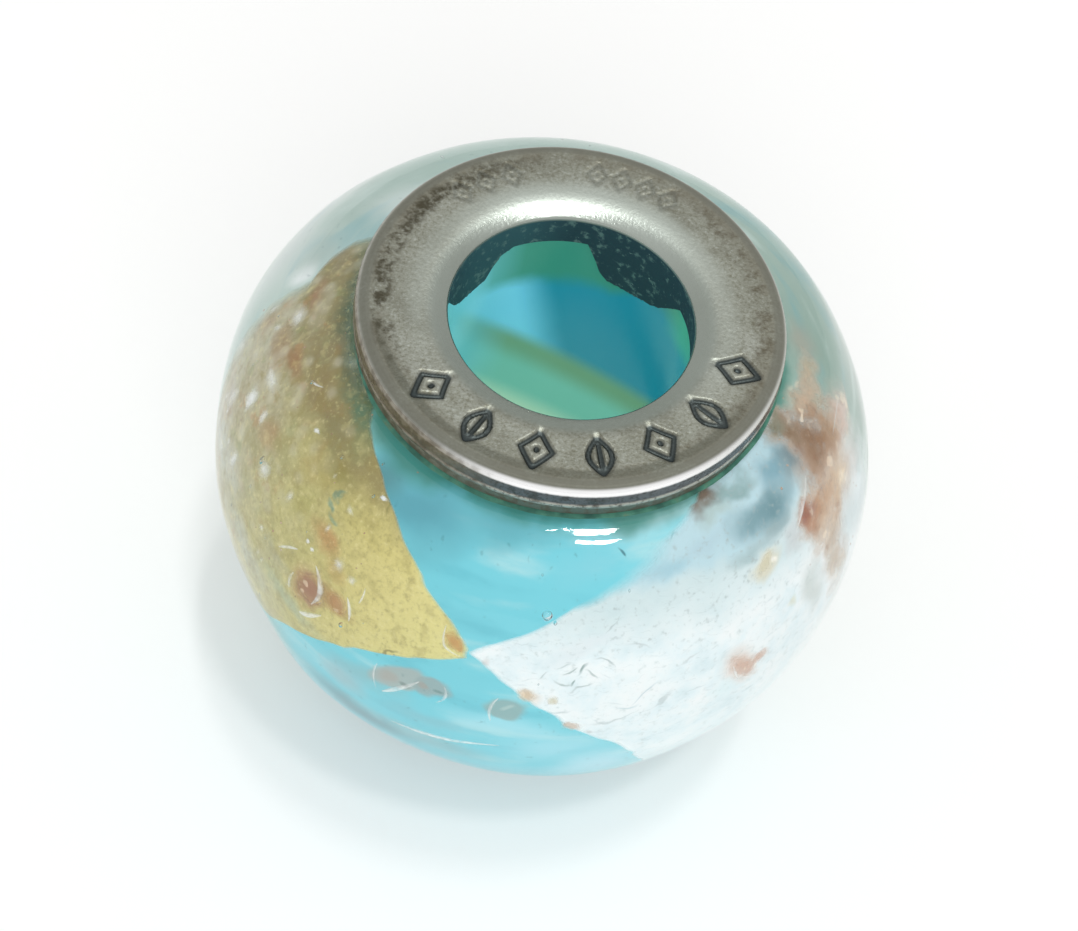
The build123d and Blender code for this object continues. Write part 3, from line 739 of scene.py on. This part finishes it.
# Air inside glass: the light bends the other way, so its IOR is that of the glass inverted.
air, tree = blank_material("air_in_glass")
shader = add(tree, "BsdfPrincipled", {"Base Color": "#FFFFFF", "Roughness": 0.02,
                                      "IOR": 0.663, "Transmission Weight": 1.0})
add(tree, "OutputMaterial", {"Surface": shader})
air_bubbles.data.materials.append(air)
shadowless(air_bubbles)
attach(air_bubbles, "root")


# The milky threads: fine wisps of white glass and of air that lie between leaf and casing,
# beside the chips that they were drawn out from, each thick in its middle and fine at its ends.
# Over the thin end of the gold leaf they gather into soft white blots.
def thread(points, thickness, thin):
    """A thread through points (azimuth, height, lift), tapering to both its ends. Its flank
    attribute is thin on its outer side and 1 where it turns in towards the core."""
    tip_share = 0.15
    bpy.ops.object.select_all(action="DESELECT")
    line = bpy.data.curves.new("thread", "CURVE")
    line.dimensions, line.bevel_depth, line.bevel_resolution = "3D", thickness, 2
    spline = line.splines.new("NURBS")
    spline.points.add(len(points) - 1)
    for place, (azimuth, height, lift) in enumerate(points):
        spline.points[place].co = (*on_barrel(core_form, azimuth, height, lift), 1)
        spline.points[place].radius = tip_share + sin(pi * place / (len(points) - 1))
    spline.order_u, spline.use_endpoint_u, spline.resolution_u = 3, True, 6
    piece = bpy.data.objects.new("thread", line)
    bpy.context.scene.collection.objects.link(piece)
    piece.select_set(True)
    bpy.context.view_layer.objects.active = piece
    bpy.ops.object.convert(target="MESH")
    piece = bpy.context.object
    flank = piece.data.attributes.new("flank", "FLOAT", "POINT")
    for vertex in piece.data.vertices:
        outward = Vector((vertex.co.x, vertex.co.y, 0.5 * (vertex.co.z - bead_middle))).normalized()
        facing = max(0.0, vertex.normal.dot(outward))
        flank.data[vertex.index].value = 1 - (1 - thin) * facing
    return piece


thread_lines = [
    # The first thread, a white line low in front along the bead's lower edge, is a painted
    # highlight.
    ([(-17, -1.92, 0.26), (-11, -1.84, 0.28), (-4, -1.70, 0.30), (4, -1.50, 0.26)], 0.080, 0.30),
    ([(-19.6, -1.0, 0.09), (-16.8, -0.68, 0.12), (-13, -0.14, 0.10)], 0.105, 0.30),
    ([(-21.5, -0.2, 0.09), (-22.4, -0.5, 0.10), (-21, -0.98, 0.09)], 0.045, 0.50),
    ([(-9, -0.58, 0.09), (-6.6, -0.30, 0.11), (-8.2, -0.02, 0.09)], 0.060, 0.45),
    ([(2.0, 0.08, 0.09), (0.0, -0.25, 0.11), (1.4, -0.70, 0.09)], 0.070, 0.40),
    ([(-39.6, 1.02, 0.09), (-37.4, 0.88, 0.12), (-36.0, 0.45, 0.12), (-37.6, 0.10, 0.10)],
     0.080, 0.35),
    ([(-40, -0.40, 0.09), (-37.8, -0.30, 0.12), (-35, 0.04, 0.10)], 0.105, 0.30),
    ([(-43.6, 0.40, 0.09), (-44.4, 0.2, 0.10), (-43.6, -0.06, 0.09)], 0.070, 0.55),
    ([(-49, 0.52, 0.09), (-47, 0.80, 0.11), (-44.6, 0.96, 0.09)], 0.065, 0.40),
    ([(-31.0, 0.95, 0.09), (-29.2, 0.74, 0.11), (-29.2, 0.42, 0.09)], 0.075, 0.35),
    ([(-28.2, 1.42, 0.09), (-27.7, 1.2, 0.11), (-28.4, 1.0, 0.09)], 0.045, 0.45),
    ([(-10.8, 1.56, 0.09), (-10.9, 1.18, 0.10), (-9, 0.98, 0.10), (-6.4, 0.94, 0.09)], 0.040, 0.45),
    ([(67.2, 2.26, 0.10), (70, 2.56, 0.12), (73, 2.68, 0.12), (76, 2.82, 0.10)], 0.065, 0.40),
    ([(47.7, 0.12, 0.09), (48.4, -0.15, 0.11), (49.4, -0.42, 0.09)], 0.060, 0.35),
    ([(-68.8, 3.10, 0.09), (-67.2, 3.16, 0.11), (-65.4, 3.28, 0.09)], 0.045, 0.35),
    ([(90, 2.60, 0.10), (96, 2.64, 0.12), (101, 2.56, 0.10)], 0.035, 0.55)]
# Each blot: azimuth, height, half width, half height, turn, and its flank value in the middle.
blots = [(-76.3, 1.55, 0.24, 0.36, 0, 0.15), (-61.3, 1.36, 0.30, 0.30, 0, 0.50),
         (-88, 2.86, 0.36, 0.22, 0, 0.45), (-75.5, 2.28, 0.40, 0.20, 20, 0.50),
         (-70, 1.86, 0.18, 0.30, 0, 0.50), (-70.8, 0.42, 0.22, 0.46, -15, 0.50),
         (-82, 0.80, 0.26, 0.50, -20, 0.55), (-52, 1.66, 0.12, 0.24, 0, 0.60),
         (-92, 0.95, 0.30, 0.55, -25, 0.60), (-35.2, 1.46, 0.16, 0.20, 0, 0.50),
         (-31.4, 1.36, 0.12, 0.12, 0, 0.45), (-38.5, 2.55, 0.14, 0.10, 0, 0.55),
         # The last four blots, small and solid white, are painted glints on the gold leaf.
         (-57.0, 2.90, 0.09, 0.05, 20, 0.0), (-43.4, 1.32, 0.06, 0.05, 0, 0.0),
         (-41.8, 1.26, 0.06, 0.05, 0, 0.0), (-33.8, 3.10, 0.12, 0.05, 10, 0.0)]
threads = [thread(*line) for line in thread_lines]
for number, (azimuth, height, wide, tall, turn, thin) in enumerate(blots):
    threads.append(pebble(large_pattern, at_surface(azimuth, height, 0.10), (wide, tall, 0.03),
                          turn, 0.7, number, thin))
for number in range(14):
    azimuth = -98 + 60 * dice.random() ** 1.1
    height = dice.uniform(-0.8, 3.0)
    size = dice.uniform(0.05, 0.13)
    threads.append(pebble(pinhead_pattern, at_surface(azimuth, height, dice.uniform(0.08, 0.25)),
                          (size, size * dice.uniform(1.0, 2.2), 0.03), dice.uniform(-35, 15),
                          0.6, number, dice.uniform(0.5, 0.8)))
for pattern in (speck_pattern, large_pattern, pinhead_pattern):
    bpy.data.objects.remove(pattern)
milky_threads = joined("milky_threads", threads)
settle(milky_threads, smooth=180)

# White enamel glass: thin and milky, so the colour beneath shows through it at its edges.
milk, tree = blank_material("white_enamel_glass")
place = place_on_bead(tree)
cloud = add(tree, "TexNoise", {"Vector": place.mm, "Scale": 5.0, "Detail": 3.0})
white = add(tree, "Mix", {"Factor": cloud, "A": "#E6ECEA", "B": "#FCFDFC"}, data_type="RGBA")
flank = add(tree, "Attribute", attribute_name="flank").outputs["Fac"]
solid_share = add(tree, "MapRange", {"Value": flank, "From Min": 1.0, "From Max": 0.15,
                                     "To Max": 0.88}, interpolation_type="SMOOTHSTEP")
patchy = add(tree, "MapRange", {"Value": cloud, "From Min": 0.62, "From Max": 0.42,
                                "To Min": 0.45})
patchy_share = add(tree, "Math", {0: solid_share, 1: patchy}, operation="MULTIPLY")
shader = add(tree, "BsdfPrincipled", {"Base Color": white, "Roughness": 0.3,
                                      "Alpha": patchy_share})
add(tree, "OutputMaterial", {"Surface": shader})
milky_threads.data.materials.append(milk)
shadowless(milky_threads)
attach(milky_threads, "root")


# The upper grommet: sterling silver, turned and pressed in one piece. Its flange lies on the
# glass, its lip is rolled into the hole, and four tabs are bent out against the hole's wall.
# The face carries a row of struck lozenges and leaves, and a few worn ones behind the hole.
hole_radius, flange_radius, top = 2.6, 4.55, 10.0
lip_arc, soft_arc, rim_arc, soft_turn = 0.10, 1.30, 0.25, 25
blend_radius = hole_radius + lip_arc + (soft_arc - lip_arc) * sin(radians(soft_turn))
lip_height = top - soft_arc + (soft_arc - lip_arc) * cos(radians(soft_turn))
face_cuts = [(blend_radius + i * (flange_radius - rim_arc - blend_radius) / 40, top)
             for i in range(1, 41)]
# Up the hole's wall, over the rolled lip, out along the face, down the worn rim and back.
ring_profile = [
    (hole_radius, 9.4), (hole_radius, lip_height),
    (hole_radius + lip_arc, lip_height, soft_turn - 90),
    (blend_radius, top - soft_arc, -soft_turn), *face_cuts,
    (flange_radius - rim_arc, top - rim_arc, -90), (flange_radius, 9.53),
    (flange_radius - 0.035, 9.50), (flange_radius - 0.005, 9.47), (flange_radius, 9.44),
    (flange_radius - 0.010, 9.38), (flange_radius - 0.060, 9.34), (flange_radius - 0.050, 9.20),
    (flange_radius - 0.050, 9.13), (flange_radius - 0.080, 9.10), (hole_radius, 9.10)]


def torn_tab(edge):
    """A tab on the hole's wall. Its edge gives the height of its lower end by azimuth."""
    tab_radius, tab_top = 2.67, 4.40
    bpy.ops.object.select_all(action="DESELECT")
    bpy.ops.mesh.primitive_grid_add(x_subdivisions=64, y_subdivisions=24, size=2)
    tab = bpy.context.object
    for vertex in tab.data.vertices:
        u, v = vertex.co.x / 2 + 0.5, vertex.co.y / 2 + 0.5
        azimuth = edge[0][0] + u * (edge[-1][0] - edge[0][0])
        for (a0, h0), (a1, h1) in zip(edge, edge[1:]):
            if a0 <= azimuth <= a1:
                foot = h0 + (h1 - h0) * (azimuth - a0) / (a1 - a0)
        foot += 0.05 * noise.fractal(Vector((azimuth * 0.35, 0, 1)), 0.8, 2.0, 3)
        height = bead_middle + foot + v * (tab_top - foot)
        across = tab_radius + 0.02 * noise.noise(Vector((azimuth * 0.1, height * 2, 3)))
        way = radians(azimuth)
        vertex.co = Vector((across * sin(way), -across * cos(way), height))
    thick = tab.modifiers.new("tab_wall", "SOLIDIFY")
    thick.thickness, thick.offset = 0.13, 0.0
    bpy.ops.object.modifier_apply(modifier="tab_wall")
    round_off = tab.modifiers.new("tab_edges", "BEVEL")
    round_off.width, round_off.segments, round_off.limit_method = 0.03, 2, "ANGLE"
    bpy.ops.object.modifier_apply(modifier="tab_edges")
    faces_outwards()
    return tab


tab_root = 4.08
tab_edges = [
    [(123, tab_root), (127, 3.9), (133, 3.6), (137, 3.4), (142, 3.2), (150, 3.1), (160, 3.05),
     (168, 3.1), (172, 3.3), (176, 3.7), (180, tab_root)],
    [(216, tab_root), (222, 3.9), (226, 3.6), (229, 3.3), (233, 3.2), (240, 3.15), (247, 3.2),
     (252, 3.35), (257, 3.7), (261, tab_root)],
    [(314, tab_root), (318, 3.6), (323, 3.3), (333, 3.25), (343, 3.3), (348, 3.6),
     (352, tab_root)],
    [(45, tab_root), (49, 3.6), (53, 3.2), (62, 3.12), (71, 3.2), (75, 3.6), (79, tab_root)]]


def segment_distance(point, first, second):
    """How far a flat point lies from the line between two others."""
    along = second - first
    t = max(0.0, min(1.0, (point - first).dot(along) / along.length_squared))
    return (point - first - t * along).length


def struck_marks():
    """The face's marks: azimuth, radius, depth share, and the lines of each in mm."""
    half_tall, leaf_wide, lozenge_wide = 0.46, 0.25, 0.34
    bow = [Vector((leaf_wide * sin(pi * i / 8), half_tall - 2 * half_tall * i / 8))
           for i in range(9)]
    leaf_lines = list(zip(bow, bow[1:])) + [(Vector((-a.x, a.y)), Vector((-b.x, b.y)))
                                            for a, b in zip(bow, bow[1:])]
    leaf_lines.append((Vector((0, half_tall)), Vector((0, -0.30))))
    corners = [Vector(corner) for corner in ((lozenge_wide, 0), (0, half_tall),
                                             (-lozenge_wide, 0), (0, -half_tall))]
    lozenge_lines = list(zip(corners, corners[1:] + corners[:1]))
    lozenge_lines.append((Vector((0, 0.02)), Vector((0, -0.02))))
    marks = [(-44 + 21 * i, 3.64, 1.0, leaf_lines if i % 2 else lozenge_lines) for i in range(7)]
    small = [(0.6 * start, 0.6 * end) for start, end in lozenge_lines]
    marks += [(azimuth, 3.80, 0.14, small) for azimuth in (158, 166, 174, 182, -150, -141, -132)]
    return marks


def grommet(name, steps, marks):
    """The ring with its four tabs, in the upper grommet's place, its marks struck in by lines
    with a floor and two sloping sides."""
    depth_in_mm, half_line, slope, mark_turn = 0.07, 0.090, 0.06, 9
    ring = turned(name, ring_profile[0], ring_profile[1:] + ring_profile[:1], steps)
    struck = ring.vertex_groups.new(name="struck")
    weights = [0.0] * len(ring.data.vertices)
    for vertex in ring.data.vertices:
        point = ring.matrix_world @ vertex.co
        if point.z < top - 0.02:
            continue
        azimuth, reach = round_the_axis(point)
        for mark_azimuth, mark_radius, depth, lines in marks:
            aside = turn_between(mark_azimuth, azimuth)
            if abs(aside) > mark_turn:
                continue
            spot = Vector((radians(aside) * mark_radius, reach - mark_radius))
            gap = min(segment_distance(spot, *line) for line in lines)
            share = max(0.0, min(1.0, (half_line - gap) / slope))
            if share > 0:
                pressed = depth * share * share * (3 - 2 * share)
                struck.add([vertex.index], pressed, "REPLACE")
                weights[vertex.index] = min(1.0, 3 * depth) * pressed / depth
    punch = ring.modifiers.new("punch", "DISPLACE")
    punch.vertex_group, punch.direction = "struck", "Z"
    punch.mid_level, punch.strength = 0.0, -depth_in_mm
    bpy.context.view_layer.objects.active = ring
    bpy.ops.object.modifier_apply(modifier="punch")
    if marks:
        darkened = ring.data.attributes.new("blackening", "FLOAT", "POINT")
        darkened.data.foreach_set("value", weights)
    return joined(name, [ring] + [torn_tab(edge) for edge in tab_edges])


# Aged sterling silver: satin from handling, polished on its rolled edges, with a grain under a
# tenth of a mm. Brown sulphide sits in a worn band on the flange and under its rim, and the struck
# marks are blue black. The tabs and the wall in the hole are blue black as well: tarnish, darkened
# further by painted shade of the hole.
aged_silver, tree = blank_material("aged_sterling_silver")
place = place_on_bead(tree)
from_middle = add(tree, "Math", {0: place.height}, operation="ABSOLUTE")
fine = add(tree, "TexNoise", {"Vector": place.mm, "Scale": 13.0, "Detail": 3.0, "Roughness": 0.7})
spots = add(tree, "TexNoise", {"Vector": place.mm, "Scale": 4.5, "Detail": 4.0, "Roughness": 0.6})
cloud = add(tree, "TexNoise", {"Vector": place.mm, "Scale": 1.1, "Detail": 4.0, "Roughness": 0.6})
metal = add(tree, "ValToRGB", {"Fac": cloud}, stops=[
    (0.30, "#8A8B7F"), (0.50, "#999B8F"), (0.70, "#A9ACA2")])
off_axis = add(tree, "Math", {0: place.azimuth}, operation="ABSOLUTE")
outer_tan = add(tree, "MapRange", {"Value": place.radius, "From Min": 3.75, "From Max": 4.2,
                                   "To Max": 0.7}, interpolation_type="SMOOTHSTEP")
band = overlap(tree, (place.radius, 3.72, 3.98), (place.radius, 4.36, 4.10), smooth=True)
side_band = overlap(tree, band, (off_axis, 35.0, 70.0), (off_axis, 168.0, 130.0))
ring = overlap(tree, (place.radius, 3.96, 4.10), (place.radius, 4.29, 4.19), smooth=True)
front_ring = overlap(tree, ring, (off_axis, 80.0, 55.0))
# Painted highlight: the rim's front is painted near white, for the table mirrored in its polished
# edge.
painted_rim_highlight = overlap(tree, (place.azimuth, -38.0, -8.0), (place.azimuth, 92.0, 30.0),
                     (place.radius, 4.44, 4.50))
past_lip = (place.radius, 3.4, 3.6)
wall = overlap(tree, (from_middle, 4.81, 4.75), past_lip)
low_band = add(tree, "MapRange", {"Value": from_middle, "From Min": 4.39, "From Max": 4.35,
                                  "To Max": 0.9})
low_outside = overlap(tree, low_band, past_lip)
left_outside = overlap(tree, (place.azimuth, -5.0, -32.0), (from_middle, 4.93, 4.84), past_lip,
                       (place.azimuth, -168.0, -125.0))
in_hole = (place.radius, 2.78, 2.72)
shade = overlap(tree, in_hole, (from_middle, 4.85, 4.78))
groove = add(tree, "Attribute", attribute_name="blackening").outputs["Fac"]
metal = tinted(tree, metal,
               ("#67644F", fine, 0.52, 0.34, 0.45),
               ("#C6CCC5", fine, 0.54, 0.72, 0.45),
               ("#625D48", spots, 0.55, 0.74, 0.45),
               ("#716C5C", cloud, 0.36, 0.58, 0.9, outer_tan),
               ("#8F9085", place.radius, 4.20, 4.32, 0.70),
               ("#5C5545", spots, 0.42, 0.66, 0.65, side_band),
               ("#454235", spots, 0.38, 0.62, 0.75, side_band, (place.azimuth, -40.0, -70.0)),
               ("#5F6156", front_ring, 0.0, 1.0, 0.55),
               ("#9CA59C", place.radius, 3.15, 2.90, 0.80),
               # The two light tints round the lip, behind and at the sides, are painted highlight
               # that widens the lip's reflection.
               ("#C9D2CA", place.radius, 3.62, 3.10, 0.75, (off_axis, 112.0, 150.0)),
               ("#B4BBB2", place.radius, 3.70, 3.25, 0.45, (off_axis, 45.0, 80.0)),
               ("#DADDD8", place.radius, 4.46, 4.53, 0.45),
               # The painted highlight on the rim's front, near white.
               ("#FFFFFF", painted_rim_highlight, 0.0, 1.0, 0.95),
               ("#3D3E42", wall, 0.0, 1.0, 0.92),
               # The light line on the ridge below the rim is a painted highlight.
               ("#B4B8AE", from_middle, 4.50, 4.47, 0.90, past_lip),
               ("#3B362D", spots, 0.50, 0.64, 0.60, wall),
               ("#2F2D2A", fine, 0.50, 0.34, 0.55, wall),
               ("#57655A", low_outside, 0.0, 0.9, 0.9),
               ("#5E5646", spots, 0.46, 0.58, 0.80, low_outside),
               ("#857D6C", left_outside, 0.0, 1.0, 0.85),
               ("#4E4534", spots, 0.40, 0.60, 0.65, left_outside),
               ("#21404D", from_middle, 4.85, 4.78, 1.0, in_hole),
               ("#416E78", place.azimuth, -92.0, -128.0, 0.55, shade,
                (place.azimuth, -172.0, -148.0)),
               ("#6F8E8C", spots, 0.54, 0.68, 0.65, shade),
               ("#9FC0BC", fine, 0.66, 0.74, 0.70, shade),
               ("#333E42", groove, 0.25, 0.80, 0.85))
lip_polish = add(tree, "MapRange", {"Value": place.radius, "From Min": 3.10, "From Max": 2.85})
rim_polish = add(tree, "MapRange", {"Value": place.radius, "From Min": 4.38, "From Max": 4.52})
polish = add(tree, "Math", {0: lip_polish, 1: rim_polish}, operation="MAXIMUM")
gloss = add(tree, "MapRange", {"Value": polish, "To Min": 0.40, "To Max": 0.26})
dull = add(tree, "MapRange", {"Value": place.radius, "From Min": 4.20, "From Max": 4.29})
unpolished = add(tree, "Math", {0: dull, 1: rim_polish}, operation="SUBTRACT", use_clamp=True)
satin = add(tree, "Math", {0: unpolished, 1: 0.30, 2: gloss}, operation="MULTIPLY_ADD")
rough = add(tree, "Math", {0: shade, 1: 0.45, 2: satin}, operation="MULTIPLY_ADD")
# The rim's dark side and its painted highlight are made less metallic, with the crust on the left.
dark_side_or_painted_highlight = add(tree, "Math", {0: wall, 1: painted_rim_highlight}, operation="MAXIMUM")
crust_side_or_painted_highlight = add(tree, "Math", {0: dark_side_or_painted_highlight, 1: left_outside}, operation="MAXIMUM")
crust_side_or_highlight_share = add(tree, "Math", {0: crust_side_or_painted_highlight, 1: 0.65}, operation="MULTIPLY")
covered = add(tree, "Math", {0: crust_side_or_highlight_share, 1: shade}, operation="MAXIMUM")
bare = add(tree, "Math", {0: covered, 1: -0.9, 2: 1.0}, operation="MULTIPLY_ADD")
relief = add(tree, "Bump", {"Height": fine, "Strength": 0.30, "Distance": 0.00002})
shader = add(tree, "BsdfPrincipled", {"Base Color": metal, "Metallic": bare, "Roughness": rough,
                                      "Normal": relief})
add(tree, "OutputMaterial", {"Surface": shader})

upper_grommet = grommet("upper_grommet_ring", 600, struck_marks())
settle(upper_grommet, smooth=40)
upper_grommet.data.materials.append(aged_silver)
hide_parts("upper_grommet")
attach(upper_grommet, "root")


# The joint's shade: a thin, uneven dark green fillet in the joint between the flange and the glass,
# a dark sheet as painted shade for the shadow and dark reflection there. The lower joint has one as
# well.
def joint_shade_fillet(name):
    """A fillet of painted shade in the corner between the upper flange and the casing, uneven all
    round, and drawn back behind on the left."""
    root, pushed_from, drawn_back_middle = 4.45, 4.48, 35
    fillet = turned(name, (4.30, 9.11), [(4.46, 9.13), (4.50, 9.11), (4.53, 9.095), (4.56, 9.08),
                                         (4.58, 9.06), (4.55, 9.03), (4.30, 9.04)], 300)
    for vertex in fillet.data.vertices:
        point = fillet.matrix_world @ vertex.co
        azimuth, reach = round_the_axis(point)
        if reach > pushed_from:
            bare = max(0.0, min(1.0, (abs(azimuth - drawn_back_middle) - 85) / 30))
            level = Vector((point.x, point.y, 0))
            uneven = 0.03 * noise.fractal(level * 1.6, 0.9, 2.0, 4)
            vertex.co += level / reach * (4 * uneven - 0.9 * bare) * (reach - root)
    return fillet


def turn_over(piece):
    """Turns a piece that was made at the bead's upper end over, to its lower end."""
    over = Matrix.Translation((0, 0, top)) @ Matrix.Rotation(pi, 4, "X")
    piece.data.transform(over @ piece.matrix_world)
    piece.matrix_world = Matrix.Identity(4)


joint_shade, tree = blank_material("painted_joint_shade")
place = place_on_bead(tree)
cloud = add(tree, "TexNoise", {"Vector": place.mm, "Scale": 3.0, "Detail": 4.0})
green = add(tree, "ValToRGB", {"Fac": cloud}, stops=[
    (0.35, "#2E5F52"), (0.50, "#3F7866"), (0.62, "#4C8974"), (0.75, "#667A60")])
relief = add(tree, "Bump", {"Height": cloud, "Strength": 0.4, "Distance": 0.00003})
shader = add(tree, "BsdfPrincipled", {"Base Color": green, "Roughness": 0.7, "Normal": relief})
add(tree, "OutputMaterial", {"Surface": shader})
for end in ("upper", "lower"):
    fillet = joint_shade_fillet(end + "_joint_shade")
    if end == "lower":
        turn_over(fillet)
    settle(fillet, smooth=60)
    fillet.data.materials.append(joint_shade)
    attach(fillet, "root")


# The lower grommet: the same pressed silver ring at the bead's other end, without marks.
# The bead stands on it, so it is turned over and its face lies on the table.
lower_grommet = grommet("lower_grommet_ring", 256, [])
turn_over(lower_grommet)
settle(lower_grommet, smooth=40)
lower_grommet.data.materials.append(aged_silver)
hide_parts("lower_grommet")
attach(lower_grommet, "root")


# The studio: a sheet of matt white paper in an even white room. Three small lamps high above
# give the streaks of gloss under the flange, and a wide softbox in front, which the glass
# doesn't mirror, lights the side that the camera sees.
bpy.ops.object.select_all(action="DESELECT")
bpy.ops.mesh.primitive_plane_add(size=1.2, location=(0, 0, 0))
table_top = bpy.context.object
table_top.name = "table_top"
paper, tree = blank_material("matt_white_paper")
shader = add(tree, "BsdfPrincipled", {"Base Color": "#FDFDFC", "Roughness": 0.9,
                                      "Emission Color": "#FFFFFF", "Emission Strength": 0.04})
add(tree, "OutputMaterial", {"Surface": shader})
table_top.data.materials.append(paper)

room = bpy.data.worlds.new("white_room")
room.use_nodes = True
room.node_tree.nodes["Background"].inputs["Color"].default_value = (1, 1, 1, 1)
room.node_tree.nodes["Background"].inputs["Strength"].default_value = 0.66
bpy.context.scene.world = room


def aimed(location, target, roll=0.0):
    """Rotation of a lamp or camera at location that looks at target."""
    look = (Vector(target) - Vector(location)).to_track_quat("-Z", "Y")
    return look @ Quaternion((0, 0, 1), radians(roll))


def softbox(name, way, rise, width, depth, watts, roll=0.0):
    """A lamp aimed at the bead from an azimuth and elevation, with a size in metres."""
    box = bpy.data.lights.new(name, "AREA")
    box.shape, box.size, box.size_y, box.energy = "RECTANGLE", width, depth, watts
    lamp = bpy.data.objects.new(name, box)
    bpy.context.scene.collection.objects.link(lamp)
    turn, lift = radians(way), radians(rise)
    lamp.location = bead_centre + lamp_distance * Vector(
        (sin(turn) * cos(lift), -cos(turn) * cos(lift), sin(lift)))
    lamp.rotation_mode = "QUATERNION"
    lamp.rotation_quaternion = aimed(lamp.location, bead_centre, roll)
    return lamp


bead_centre, lamp_distance = Vector((0, 0, 0.001 * bead_middle)), 0.35
softbox("ceiling_lamp_back", 157, 74, 0.018, 0.048, 0.12, roll=34)
softbox("ceiling_lamp_front", 98, 79.5, 0.032, 0.034, 0.15)
softbox("ceiling_lamp_left", 168, 76.3, 0.004, 0.030, 0.010)
softbox("front_softbox", 10, 38, 0.26, 0.20, 0.30).visible_glossy = False

view = bpy.data.cameras.new("photo_view")
view.lens, view.sensor_width = 234.0, 36.0
view.shift_x, view.shift_y = -0.0025, -0.0107
view.clip_start, view.clip_end = 0.005, 5.0
camera = bpy.data.objects.new("photo_view", view)
bpy.context.scene.collection.objects.link(camera)
camera_rise, camera_roll, camera_distance = radians(53.2), 12.53, 0.150
camera.location = bead_centre + camera_distance * Vector((0, -cos(camera_rise), sin(camera_rise)))
camera.rotation_mode = "QUATERNION"
camera.rotation_quaternion = aimed(camera.location, bead_centre, roll=camera_roll)
bpy.context.scene.camera = camera
bpy.context.scene.view_settings.view_transform = "Standard"
